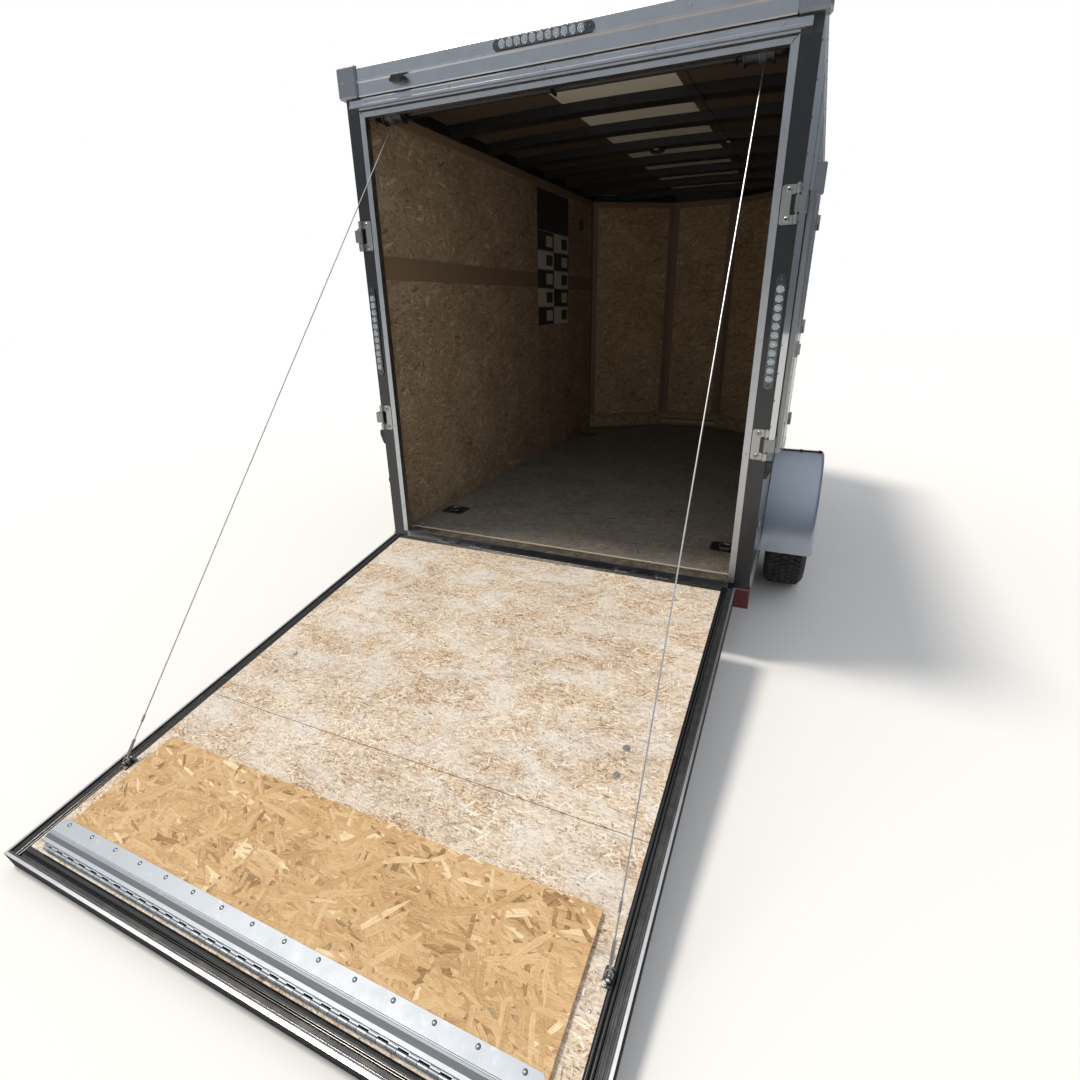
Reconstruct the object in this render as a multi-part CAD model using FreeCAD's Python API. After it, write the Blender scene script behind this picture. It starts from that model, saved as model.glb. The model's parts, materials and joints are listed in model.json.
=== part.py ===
import FreeCAD, Part
import math
import os

from FreeCAD import Vector

# Enclosed single-axle cargo trailer with a spring-assisted rear ramp door, all sizes in millimetres.
# X is to the curb side, Y is forward and Z is up. While building, Y = 0 is the rear face of the
# rear posts and Z = 0 is the sill. place() then moves each piece so that the ground is at Z = 0
# and the box from the ramp's far end to the coupler's nose is centred on Y = 0.

# Body
body_width = 1829.0
straight_length = 3060.0
nose_depth = 415.0
nose_flat = 536.0
wall_thickness = 39.0
opening_height = 1853.0
post_width = 85.5
sill_height = 360.0
floor_rise = 5.0
floor_thickness = 19.0
floor_setback = 70.0
panel_seam = 2.0
seat_gap = 0.3
half_body = body_width / 2
half_opening = half_body - post_width
inner_half = half_body - wall_thickness
half_flat = nose_flat / 2
nose_front = straight_length + nose_depth
wall_height = opening_height + 124.0

# Chassis
rail_width = 51.0
rail_height = 76.0
rail_inset = 2.5
cross_width = 40.0
cross_height = 50.0
cross_pitch = 406.0
tongue_reach = 1010.0
tongue_tuck = 730.0
tongue_spread = 1220.0
tongue_nose_width = 120.0
tongue_height = 76.0
tongue_width = 51.0
tongue_end = 190.0

# Coupler for a 2 in ball, and the tongue jack
ball_radius = 25.4
socket_clearance = 0.4
socket_depth = 22.0
socket_wall = 7.0
socket_drop = 46.0
coupler_sheet = 6.0
coupler_length = 470.0
lever_width = 18.0
lever_height = 46.0
jack_setback = 330.0
jack_outer = 28.5
jack_inner = 22.5
jack_rise = 420.0
jack_flange_radius = 62.0
jack_flange = 8.0
jack_cap_radius = 34.0
jack_cap = 34.0
jack_foot_radius = 80.0
jack_foot = 6.0
crank_reach = 150.0
crank_radius = 6.0
crank_rise = 90.0
crank_grip_radius = 13.0

# Rear frame
post_depth = 32.0
post_drop = 112.0
trim_width = 22.0
trim_thickness = 3.0
reveal_depth = 28.0
header_depth = 32.0
header_bottom = opening_height + 15.0
header_top = wall_height + 18.0
fascia_bottom = wall_height - 59.0
fascia_ridge = wall_height - 9.0
fascia_top = wall_height + 42.0
fascia_proud = 14.0
gutter_bottom = header_bottom + 12.0
gutter_height = 36.0
gutter_inset = 30.0
gutter_proud = 24.0
gutter_lip = 8.0
gutter_sheet = 5.0
cap_length = 98.0
cap_overhang = 20.0
cap_proud = 24.0
cap_bevel = 7.0
sill_plate_thickness = 6.0
sill_lip = 34.0
sill_sheet = 4.0

# Roof
skin_thickness = 3.0
roof_crown = 20.0
bow_pitch = 406.0
first_bow = 305.0
bow_width = 90.0
bow_depth = 42.0
ceiling_sheet_width = 570.0
ceiling_sheet_offset = 60.0
ceiling_sheet_thickness = 1.8
roof_trim_height = 48.0
skirt_lap = 44.0

# Plain strips on the lining
band_thickness = 4.0
base_height = 122.0
middle_drop = 742.0
middle_height = 100.0
top_band = 90.0
top_band_gap = 46.0

# Lamps
lamp_length = 392.0
lamp_height = 34.0
lamp_depth = 10.0
lamp_cups = 11
lamp_cup_radius = 13.0
lamp_cup_proud = 2.5
lamp_margin = 6.0
light_bar_x = -8.0
light_bar_rise = 74.0
tail_lamp_inset = 27.0
tail_lamp_z = 1003.0
wrap_lamp_width = 62.0
wrap_lamp_top = -20.0
wrap_lamp_wall = 6.0
dome_radius = 52.0
dome_base = 9.0
dome_depth = 26.0
dome_x = 27.0

# Axle, wheels and fenders
axle_y = 950.0
tyre_radius = 338.0
tyre_width = 205.0
wheel_offset = 125.5
tyre_shoulder = 26.0
sidewall_bulge = 62.0
rim_radius = 190.5
rim_sheet = 6.0
bead_height = 12.0
vent_count = 8
vent_radius = 17.0
vent_circle = 134.5
vent_margin = 22.0
disc_x = 30.0
disc_rake = 18.0
bead_seat = 18.0
hub_radius = 52.0
hub_length = 76.0
hub_cap_radius = 34.0
hub_reach = 62.0
spindle_radius = 22.0
axle_tube = 60.0
axle_bracket = 120.0
arm_length = 152.0
arm_thickness = 18.0
arm_tube_radius = 40.0
arm_hub_radius = 30.0
arm_gap = 4.0
fender_width = 240.0
fender_radius = 400.0
fender_leg = 30.0
fender_sheet = 3.0
fender_lip = 30.0
fender_edge = 14.0

# Ramp door, in its own flat position: u runs out from the hinge axis, w up from it
hinge_y = -40.0
hinge_z = -22.3
ramp_near = 18.0
deck_near = 54.0
deck_length = opening_height - 53.0
deck_half_width = half_opening - 18.0
deck_thickness = 19.0
deck_top = 31.0
ramp_margin = 32.0
ramp_half_width = deck_half_width + 55.0
ramp_thickness = 58.0
edge_strip = 12.0
seal_recess = 5.0
seal_gap = 4.0
ramp_skin = 3.0
ramp_rib_width = 40.0
rib_count = 4
frame_width = 30.0
hinge_pin_radius = 4.4
hinge_bore_radius = 4.6
knuckle_radius = 9.0
knuckle_length = 56.0
knuckle_end = 22.0
knuckle_gap = 1.0
hinge_places = (-560.0, -375.0, 375.0, 560.0)

# Ramp's stay cables, their drums on the header's shaft and their brackets
cable_x = deck_half_width - 66.0
cable_radius = 2.0
shaft_y = header_depth + 42.0
shaft_z = header_bottom - 6.0
shaft_radius = 12.5
shaft_end = deck_half_width - 5.0
drum_radius = 34.0
drum_width = 96.0
drum_shift = 17.0
drum_flange = 5.0
drum_groove = 8.0
hanger_plate = 6.0
hanger_foot = 48.0
hanger_height = 64.0
hanger_gap = 22.0
bracket_setback = 307.0
bracket_height = 22.0
bracket_sheet = 4.0
bracket_length = 68.0
bracket_ear = 28.0
bracket_wide = 30.0

# Transition flap, folded back on the ramp deck
flap_pin_setback = 22.0
flap_length = 406.0
flap_half_width = deck_half_width - 56.0
flap_lift = 5.0
flap_thickness = 12.0
flap_knuckle_radius = 5.0
flap_pin_radius = 2.4
flap_bore_radius = 2.8
flap_knuckle_pairs = 6
flap_board_gap = 36.0
flap_strip_width = 62.0
flap_strip_fold = 16.0
flap_strip_drop = 4.0
flap_strip_overhang = 30.0
flap_strip_thickness = 2.5
flap_leaf = 3.0

# Side door on the curb side
door_width = 813.0
door_setback = 975.0
door_bottom = 66.0
door_top = wall_height - 177.0
door_corner = 40.0
door_gap = 6.0
door_hinge_out = 15.0
door_hinge_radius = 8.0
door_pin_radius = 4.0
door_bore_radius = 4.2
door_leaf = 6.0
door_leaf_reach = 60.0
door_hinge_margin = 150.0
door_knuckle = 50.0
door_flange_width = 28.0
door_flange_thickness = 2.5
door_latch_size = 100.0
door_latch_z = 760.0

# Side bars that hold the closed ramp, with a tab on each
latch_inset = 8.5
latch_y = -12.0
latch_radius = 8.0
latch_pin_radius = 3.6
latch_bore_radius = 3.9
latch_bar_low = 561.0
latch_bar_high = 1457.0
latch_plate_low = 600.0
latch_plate_high = 1410.0
latch_plate_height = 118.0
latch_plate_width = 52.0
latch_plate_sheet = 4.0
latch_knuckle = 50.0
latch_arm_out = 32.0
latch_arm_reach = 62.0
latch_bar_width = 24.0
latch_bar_depth = 14.0
latch_arm_sheet = 4.0
latch_tab_height = 96.0
latch_tab_width = 28.0
latch_tab_sheet = 6.0
latch_tab_lows = {"curb": 1440.0, "road": 1356.0}

# Rings let into the floor
ring_inset = 149.5
ring_rear_y = 380.0
ring_front_setback = 360.0
ring_radius = 30.0
ring_bar = 9.0
pan_length = 140.0
pan_depth = 122.0
pan_sheet = 3.0
pan_floor = 1.0
pan_rim = 20.0
pan_corner = 10.0

# Derived places
floor_top = floor_rise
rail_top = floor_top - floor_thickness
rail_bottom = rail_top - rail_height
axle_z = tyre_radius - sill_height
tyre_centre_x = half_body + wheel_offset
coupler_front = nose_front + tongue_reach
deck_far = deck_near + deck_length
ramp_far = deck_far + ramp_margin
ramp_bottom = deck_top - ramp_thickness
flap_pin_u = deck_far - flap_pin_setback
flap_pin_w = deck_top + flap_lift + flap_thickness / 2
door_rear = straight_length - door_setback
door_front = door_rear + door_width


def ramp_slope_for(height):
    """Angle below level, in radians, at which the ramp's far lower edge meets the ground."""
    reach = math.hypot(ramp_far, ramp_bottom)
    return math.asin((height + hinge_z) / reach) + math.atan2(ramp_bottom, ramp_far)


ramp_slope = ramp_slope_for(sill_height)
ramp_reach = ramp_far * math.cos(ramp_slope) + deck_top * math.sin(ramp_slope) - hinge_y
centre_y = (coupler_front - ramp_reach) / 2

os.makedirs("parts", exist_ok=True)


def place(shape):
    """Move from the building frame to the stored frame."""
    moved = shape.copy()
    moved.translate(Vector(0, -centre_y, sill_height))
    return moved


def save(name, *shapes):
    """Write one node as a STEP file."""
    solids = []
    for shape in shapes:
        solids.extend(shape.Solids)
    whole = solids[0] if len(solids) == 1 else Part.makeCompound(solids)
    place(whole).exportStep("parts/" + name + ".step")


def box(x0, x1, y0, y1, z0, z1):
    """A block between two corners."""
    return Part.makeBox(x1 - x0, y1 - y0, z1 - z0, Vector(x0, y0, z0))


def plan_prism(points, z0, z1):
    """A plan outline of (x, y) points raised from z0 to z1."""
    wire = Part.makePolygon([Vector(x, y, z0) for x, y in points + points[:1]])
    return Part.Face(wire).extrude(Vector(0, 0, z1 - z0))


def end_prism(points, x0, x1):
    """A side-view outline of (y, z) points run from x0 to x1."""
    wire = Part.makePolygon([Vector(x0, y, z) for y, z in points + points[:1]])
    return Part.Face(wire).extrude(Vector(x1 - x0, 0, 0))


def rod_x(radius, x0, x1, y, z):
    """A round bar along X."""
    return Part.makeCylinder(radius, x1 - x0, Vector(x0, y, z), Vector(1, 0, 0))


def rod_z(radius, x, y, z0, z1):
    """A round bar along Z."""
    return Part.makeCylinder(radius, z1 - z0, Vector(x, y, z0), Vector(0, 0, 1))


def polygon(radius, sides, lay):
    """Closed wire of equal sides round a circle; lay() turns two flat coordinates into a point."""
    turns = [2 * math.pi * (i + 0.5) / sides for i in range(sides)]
    points = [lay(radius * math.cos(turn), radius * math.sin(turn)) for turn in turns]
    return Part.makePolygon(points + points[:1])


def bar_x(radius, sides, x0, x1, y, z):
    """A bar along X with flat sides."""
    wire = polygon(radius, sides, lambda a, b: Vector(x0, y + a, z + b))
    return Part.Face(wire).extrude(Vector(x1 - x0, 0, 0))


def bar_y(radius, sides, x, y0, y1, z):
    """A bar along Y with flat sides."""
    wire = polygon(radius, sides, lambda a, b: Vector(x + a, y0, z + b))
    return Part.Face(wire).extrude(Vector(0, y1 - y0, 0))


def bar_z(radius, sides, x, y, z0, z1):
    """A bar along Z with flat sides."""
    wire = polygon(radius, sides, lambda a, b: Vector(x + a, y + b, z0))
    return Part.Face(wire).extrude(Vector(0, 0, z1 - z0))


def mirrored(shape):
    """The same piece on the road side."""
    return shape.mirror(Vector(0, 0, 0), Vector(1, 0, 0))


def both(shape):
    """A piece and its mirror image."""
    return [shape, mirrored(shape)]


def fused(first, *others):
    """One solid from pieces that overlap or touch."""
    return first.fuse(list(others)).removeSplitter()


def drilled(shape, *tools):
    """A solid with others taken away."""
    return shape.cut(list(tools))


def rounded(shape, radius, picks):
    """Fillet the edges that picks() accepts."""
    edges = [edge for edge in shape.Edges if picks(edge)]
    return shape.makeFillet(radius, edges)


def bevelled(shape, size, picks):
    """Chamfer the edges that picks() accepts."""
    edges = [edge for edge in shape.Edges if picks(edge)]
    return shape.makeChamfer(size, edges)


def outline(inset):
    """Plan outline of the body, moved in by inset, from the rear road side round the nose."""
    side = half_body - inset
    run = half_body - half_flat
    length = math.hypot(run, nose_depth)
    front = nose_front - inset
    # Along the slanted wall, x * nose_depth + y * run is constant, and smaller by inset * length
    slant = half_body * nose_depth + straight_length * run - inset * length
    corner_y = (slant - side * nose_depth) / run
    flat_x = (slant - front * run) / nose_depth
    return [(-side, corner_y), (-flat_x, front), (flat_x, front), (side, corner_y)]


def plan_outline(inset, rear_y):
    """Closed outline from the given rear line."""
    side = half_body - inset
    return [(-side, rear_y)] + outline(inset) + [(side, rear_y)]


def outline_bars(outset, inset, z0, z1, rear_y):
    """One bar for each straight stretch of the outline, split at its corners."""
    outer = plan_outline(-outset, rear_y)
    inner = plan_outline(inset, rear_y)
    bars = []
    for index in range(len(outer) - 1):
        a, b = outer[index], outer[index + 1]
        c, d = inner[index + 1], inner[index]
        cut = seam_trim(a, b, c, d)
        bars.append(plan_prism(cut, z0, z1))
    return bars


def seam_trim(a, b, c, d):
    """Draw a bar's two ends back by half a seam, so that it stays clear of the next bar."""
    length = math.hypot(b[0] - a[0], b[1] - a[1])
    step = (panel_seam / 2) / length
    shift = ((b[0] - a[0]) * step, (b[1] - a[1]) * step)
    return [
        (a[0] + shift[0], a[1] + shift[1]),
        (b[0] - shift[0], b[1] - shift[1]),
        (c[0] - shift[0], c[1] - shift[1]),
        (d[0] + shift[0], d[1] + shift[1]),
    ]


def crown(x):
    """Height of the roof's curve above the walls at x."""
    return roof_crown * (1 - (x / half_body) ** 2)


def arched(x0, x1, y0, y1, low, high):
    """A sheet or bow that follows the roof's curve, from low to high above the wall's top."""
    middle = (x0 + x1) / 2

    def arc(base, y):
        points = [Vector(x, y, wall_height + base + crown(x)) for x in (x0, middle, x1)]
        return Part.Arc(*points).toShape()

    under = arc(low, y0)
    over = arc(high, y0)
    ends = [
        Part.makeLine(under.Vertexes[0].Point, over.Vertexes[0].Point),
        Part.makeLine(under.Vertexes[-1].Point, over.Vertexes[-1].Point),
    ]
    wire = Part.Wire(Part.__sortEdges__([under, ends[1], over, ends[0]]))
    return Part.Face(wire).extrude(Vector(0, y1 - y0, 0))


# Chassis: two side rails, a rear beam, nose beams, crossmembers and the A-frame tongue
side_inner = half_body - rail_inset - rail_width
frame_bars = outline_bars(-rail_inset, rail_width + rail_inset, rail_bottom, rail_top, post_depth)
save("rail_road", frame_bars[0])
save("rail_curb", frame_bars[4])
rear_beam = box(-half_opening, half_opening, 0, floor_setback, -post_drop, -sill_plate_thickness)
cross_count = int((straight_length - floor_setback) / cross_pitch)
cross_ys = [floor_setback + cross_pitch * (i + 0.5) for i in range(cross_count)]
cross_low = rail_top - cross_height
cross = [box(-side_inner, side_inner, y, y + cross_width, cross_low, rail_top) for y in cross_ys]
save("frame_beams", rear_beam, *cross, *frame_bars[1:4])
tongue_back = straight_length - tongue_tuck
tongue_front = coupler_front - tongue_end
tongue_lean = (tongue_spread - tongue_nose_width) / 2 / (tongue_front - tongue_back)


def tongue_rail():
    """One side of the A-frame, its ends cut square to the trailer."""
    slip = tongue_width * math.hypot(1, tongue_lean)
    back_x = tongue_spread / 2
    front_x = tongue_nose_width / 2
    points = [
        (back_x, tongue_back),
        (front_x, tongue_front),
        (front_x + slip, tongue_front),
        (back_x + slip, tongue_back),
    ]
    return plan_prism(points, rail_bottom - tongue_height, rail_bottom)


save("tongue_rails", *both(tongue_rail()))

# Coupler: a folded plate over the tongue's front end, a neck, a ball socket and a lock lever
socket_radius = ball_radius + socket_clearance
socket_outer = socket_radius + socket_wall
coupler_top = rail_bottom + coupler_sheet
socket_y = coupler_front - socket_outer
socket_base = rail_bottom - socket_drop
shoulder_y = socket_y - 2 * socket_radius


def coupler():
    """Plate that narrows to the socket's dome."""
    tongue_half = tongue_nose_width / 2 + tongue_width
    rear_half = tongue_half + tongue_lean * (coupler_length - tongue_end)
    half = [
        (rear_half, coupler_front - coupler_length),
        (tongue_half, tongue_front),
        (socket_outer, shoulder_y),
        (socket_outer, socket_y),
    ]
    outline_points = half + [(-x, y) for x, y in reversed(half)]
    top = plan_prism(outline_points, rail_bottom, coupler_top)
    neck_low = socket_base + socket_wall
    neck = box(-socket_outer, socket_outer, tongue_front + 1, socket_y, neck_low, rail_bottom)
    barrel = rod_z(socket_outer, 0, socket_y, socket_base, coupler_top)
    ball = Part.makeSphere(socket_outer - coupler_sheet, Vector(0, socket_y, coupler_top - coupler_sheet))
    reach = 2 * socket_outer
    over = box(-reach, reach, socket_y - reach, socket_y + reach, rail_bottom, coupler_top + reach)
    dome = ball.common(over)
    lever_y = socket_y - 6 * socket_radius
    half_lever = lever_width / 2
    lever_top = coupler_top + lever_width
    grip_top = coupler_top + lever_height
    lever = box(-half_lever, half_lever, lever_y, shoulder_y, coupler_top, lever_top)
    grip = box(-half_lever, half_lever, lever_y, lever_y + lever_width, coupler_top, grip_top)
    bore = rod_z(socket_radius, 0, socket_y, socket_base - 1, socket_base + socket_depth)
    roof = Part.makeSphere(socket_radius, Vector(0, socket_y, socket_base + socket_depth))
    return drilled(fused(top, neck, barrel, dome, lever, grip), bore, roof)


save("coupler", coupler())

# Tongue jack: flanged outer tube through the coupler plate, inner leg, foot and side crank
jack_y = coupler_front - jack_setback
jack_top = rail_bottom + jack_rise
crank_z = jack_top + jack_cap / 2
crank_top = crank_z + crank_rise
jack_tube = fused(
    rod_z(jack_outer, 0, jack_y, coupler_top, jack_top),
    rod_z(jack_flange_radius, 0, jack_y, coupler_top, coupler_top + jack_flange),
    rod_z(jack_cap_radius, 0, jack_y, jack_top, jack_top + jack_cap),
    rod_x(crank_radius, 0, crank_reach, jack_y, crank_z),
    rod_z(crank_radius + 2, crank_reach, jack_y, crank_z - crank_radius - 2, crank_top),
    rod_z(crank_grip_radius, crank_reach, jack_y, crank_top, crank_top + crank_rise),
)
save("jack_tube", jack_tube)
jack_leg = fused(
    rod_z(jack_inner, 0, jack_y, jack_foot - sill_height, rail_bottom),
    rod_z(jack_foot_radius, 0, jack_y, -sill_height, jack_foot - sill_height),
    rod_z(jack_cap_radius, 0, jack_y, jack_foot - sill_height, 4 * jack_foot - sill_height),
)
save("jack_leg", jack_leg)

# Floor
floor = plan_prism(plan_outline(wall_thickness, floor_setback), rail_top, floor_top)
save("floor", floor)

# Walls: each side is split where its panels meet, and the curb side is cut for the side door
opening_rear = door_rear - door_gap
opening_front = door_front + door_gap
side_x0 = half_body - wall_thickness
wall_y0 = post_depth
panel_length = (straight_length - wall_y0) / 5


def side_panel(y0, y1, z0, z1):
    """A stretch of the curb-side wall, as thick as the whole wall."""
    half = panel_seam / 2
    return box(side_x0, half_body, y0 + half, y1 - half, z0, z1)


corner_in_y = outline(wall_thickness)[0][1]
cuts = [wall_y0 - panel_seam / 2] + [wall_y0 + panel_length * i for i in (1, 2, 3, 4)]
road_panels = [side_panel(cuts[i], cuts[i + 1], rail_top, wall_height) for i in range(4)]
last_panel = plan_prism(
    [
        (side_x0, cuts[4] + panel_seam / 2),
        (half_body, cuts[4] + panel_seam / 2),
        (half_body, straight_length - panel_seam / 2),
        (side_x0, corner_in_y - panel_seam / 2),
    ],
    rail_top,
    wall_height,
)
save("wall_road", *[mirrored(p) for p in road_panels + [last_panel]])

curb_cuts = [y for y in cuts if y < opening_rear - 100] + [opening_rear]
curb_panels = [
    side_panel(curb_cuts[i], curb_cuts[i + 1], rail_top, wall_height)
    for i in range(len(curb_cuts) - 1)
]
over_door = side_panel(opening_rear, opening_front, door_top + door_gap, wall_height)
under_door = side_panel(opening_rear, opening_front, rail_top, door_bottom - door_gap)
front_stub = plan_prism(
    [
        (side_x0, opening_front + panel_seam / 2),
        (half_body, opening_front + panel_seam / 2),
        (half_body, straight_length - panel_seam / 2),
        (side_x0, corner_in_y - panel_seam / 2),
    ],
    rail_top,
    wall_height,
)
save("wall_curb", *curb_panels, over_door, under_door, front_stub)

nose_walls = outline_bars(0, wall_thickness, rail_top, wall_height, post_depth)[1:4]
nose_tops = outline_bars(0, wall_thickness, wall_height - 40, wall_height + 40, post_depth)[1:4]
under_roof = arched(-half_body, half_body, post_depth, nose_front, -100, 0)
save("nose_walls", *[fused(wall, top.common(under_roof)) for wall, top in zip(nose_walls, nose_tops)])

# Plain strips over the lining: base, middle and top bands, and upright battens in the nose
band_inset = wall_thickness + seat_gap
middle_low = wall_height - middle_drop
middle_high = middle_low + middle_height
bands = []
base_span = (floor_top + seat_gap, floor_top + base_height)
top_span = (wall_height - top_band, wall_height - top_band_gap)
for low, high in (base_span, top_span):
    bars = outline_bars(-band_inset, band_inset + band_thickness, low, high, wall_y0 + 2)
    bands.extend(bars[1:4])
    bands.append(bars[0])
    bands.append(bars[4])
bars = outline_bars(-band_inset, band_inset + band_thickness, middle_low, middle_high, wall_y0 + 2)
bands.append(bars[0])
door_reveal = box(0, half_body, opening_rear - 2, opening_front + 2, door_bottom - 30, door_top + 30)
bands = [band.cut(door_reveal) for band in bands]
save("wall_bands", *bands)

# Roof: skin on the walls, bows below it, pale sheet down the middle, edge trim
body_plan = plan_prism(plan_outline(0, header_depth), wall_height - 60, wall_height + 120)
skin = arched(-half_body, half_body, header_depth, nose_front, seat_gap, seat_gap + skin_thickness)
save("roof_skin", skin.common(body_plan))

inner_outline = plan_outline(wall_thickness + seat_gap, header_depth)
inner_plan = plan_prism(inner_outline, wall_height - 80, wall_height + 80)
bow_count = 8
bows = []
sheet_low = -seat_gap - 1.5
for i in range(bow_count):
    y = first_bow + bow_pitch * i
    blank = arched(-half_body, half_body, y, y + bow_width, sheet_low - bow_depth, sheet_low - seat_gap)
    bows.append(blank.common(inner_plan))
save("roof_bows", *bows)
sheet_x0 = ceiling_sheet_offset - ceiling_sheet_width / 2
sheet_x1 = ceiling_sheet_offset + ceiling_sheet_width / 2
last_bow_y = first_bow + bow_pitch * (bow_count - 1) + bow_width
save("ceiling_sheet", arched(sheet_x0, sheet_x1, header_depth + 2, last_bow_y, sheet_low, 0))

roof_trim = outline_bars(3.0, 0, wall_height - roof_trim_height, wall_height + 4, header_depth + 12)
skirt_trim = outline_bars(2.0, 0, rail_bottom, rail_top + skirt_lap, post_depth + 4)
save("edge_trim", *roof_trim, *skirt_trim)

# Rear frame: posts, header, sill, inner trim, fascia, gutter and corner caps
post = box(half_opening, half_body, 0, post_depth, -post_drop, header_bottom)
save("rear_posts", *both(post))
save("header_beam", box(-half_body, half_body, 0, header_depth, header_bottom, header_top))
sill = fused(
    box(-half_opening, half_opening, -sill_sheet, floor_setback, -sill_plate_thickness, 0),
    box(-half_opening, half_opening, -sill_sheet, 0, -sill_lip, 0),
)
save("sill_plate", sill)


def trim_side():
    """Upright angle on the post's inner edge, mitred at the top."""
    half = half_opening
    face = box(half - trim_thickness, half + trim_width, -trim_thickness, 0, 0, opening_height + trim_width)
    leg = box(half - trim_thickness, half, 0, reveal_depth, 0, opening_height)
    whole = fused(face, leg)
    reach = 400.0
    corner = Vector(half - trim_thickness, -50, opening_height - trim_thickness)
    wedge = Part.makePolygon(
        [
            corner,
            corner + Vector(reach, 0, reach),
            corner + Vector(0, 0, reach),
            corner,
        ]
    )
    return whole.cut(Part.Face(wedge).extrude(Vector(0, 200, 0)))


def trim_top():
    """Angle under the header, mitred at both ends."""
    half = half_opening
    z = opening_height
    face = box(-half - trim_width, half + trim_width, -trim_thickness, 0, z - trim_thickness, z + 15)
    leg = box(-half - trim_width, half + trim_width, 0, reveal_depth, z - trim_thickness, z)
    low = half - trim_thickness - 0.5
    keep = Part.makePolygon(
        [
            Vector(-low, -50, z - trim_thickness),
            Vector(low, -50, z - trim_thickness),
            Vector(low + 60, -50, z - trim_thickness + 60),
            Vector(-low - 60, -50, z - trim_thickness + 60),
            Vector(-low, -50, z - trim_thickness),
        ]
    )
    return fused(face, leg).common(Part.Face(keep).extrude(Vector(0, 200, 0)))


save("opening_trim", *both(trim_side()), trim_top())

gutter = end_prism(
    [
        (0, gutter_bottom),
        (-gutter_proud, gutter_bottom),
        (-gutter_proud, gutter_bottom + gutter_lip),
        (-gutter_proud + gutter_sheet, gutter_bottom + gutter_lip + 4),
        (-gutter_proud + gutter_sheet, gutter_bottom + gutter_height - 10),
        (-8, gutter_bottom + gutter_height),
        (0, gutter_bottom + gutter_height),
    ],
    gutter_inset - half_body,
    half_body - gutter_inset,
)
save("gutter", gutter)

fascia_half = half_body + cap_overhang - cap_length - seat_gap
fascia = end_prism(
    [
        (0, fascia_bottom),
        (-fascia_proud + 3, fascia_bottom),
        (-fascia_proud, fascia_bottom + 4),
        (-fascia_proud, fascia_ridge - 5),
        (-fascia_proud - 5, fascia_ridge),
        (-fascia_proud - 5, fascia_ridge + 4),
        (-fascia_proud, fascia_ridge + 7),
        (-fascia_proud, fascia_top - 5),
        (-fascia_proud + 4, fascia_top),
        (header_depth - 2, fascia_top),
        (header_depth - 2, header_top),
        (0, header_top),
    ],
    -fascia_half,
    fascia_half,
)
save("fascia", fascia)

cap_x1 = half_body + cap_overhang
cap_body = box(cap_x1 - cap_length, cap_x1, -cap_proud, header_depth + 8, fascia_bottom - 2, fascia_top + 8)
cap_cut = box(cap_x1 - cap_length - 5, half_body, 0, header_depth + 20, fascia_bottom - 30, header_top)
cap = bevelled(cap_body, cap_bevel, lambda e: e.Length > 60).cut(cap_cut)
cap = cap.cut(box(0, half_body + 3.5, header_depth, header_depth + 20, 0, wall_height + 12 + roof_crown))
save("corner_caps", *both(cap))

# Lamps: bar of clear domes on the fascia, slim bars on the posts, red wrap lamps, small black lamp
def cupped_lamp(length, height, depth):
    """Slim oblong lamp with round ends and a row of cups, lying along X with its back at Y = 0."""
    half = length / 2 - height / 2
    left = Part.makeCylinder(height / 2, depth, Vector(-half, -depth, 0), Vector(0, 1, 0))
    right = Part.makeCylinder(height / 2, depth, Vector(half, -depth, 0), Vector(0, 1, 0))
    middle = box(-half, half, -depth, 0, -height / 2, height / 2)
    pitch = (length - 2 * lamp_cup_radius - lamp_margin) / (lamp_cups - 1)
    first = -pitch * (lamp_cups - 1) / 2
    front = -depth - lamp_cup_proud
    cups = [bar_y(lamp_cup_radius, 10, first + pitch * i, front, 1 - depth, 0) for i in range(lamp_cups)]
    return fused(middle, left, right, *cups)


light_bar = cupped_lamp(lamp_length, lamp_height, lamp_depth)
light_bar.translate(Vector(light_bar_x, -fascia_proud, fascia_bottom + light_bar_rise))
save("light_bar", light_bar)
tail = cupped_lamp(lamp_length, lamp_height, lamp_depth)
tail.rotate(Vector(0, 0, 0), Vector(0, 1, 0), 90)
tail.translate(Vector(half_body - tail_lamp_inset, 0, tail_lamp_z))
save("tail_lamps", *both(tail))
wrap_low = -post_drop + 2
wrap_edge = half_body + wrap_lamp_wall
wrap = box(half_body - wrap_lamp_width, wrap_edge, -wrap_lamp_wall, post_depth - 2, wrap_low, wrap_lamp_top)
wrap = bevelled(wrap, wrap_lamp_wall - 2, lambda e: e.Length > 60 and e.BoundBox.YMax < 1 - wrap_lamp_wall)
wrap = wrap.cut(box(0, half_body, 0, floor_setback, wrap_low - 1, wrap_lamp_top + 1))
save("wrap_lamps", *both(wrap))
# Ramp springs under the header: shaft, two coil springs, end drums and hangers
drum_x = cable_x - drum_shift


def drum():
    """Cable drum with two flanges, bored for the shaft."""
    x0 = drum_x - drum_width / 2
    x1 = drum_x + drum_width / 2
    core = rod_x(drum_radius - drum_groove, x0, x1, shaft_y, shaft_z)
    rims = [rod_x(drum_radius, x, x + drum_flange, shaft_y, shaft_z) for x in (x0, x1 - drum_flange)]
    return drilled(fused(core, *rims), rod_x(shaft_radius + seat_gap, x0 - 1, x1 + 1, shaft_y, shaft_z))


save("cable_drums", *both(drum()))


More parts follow.
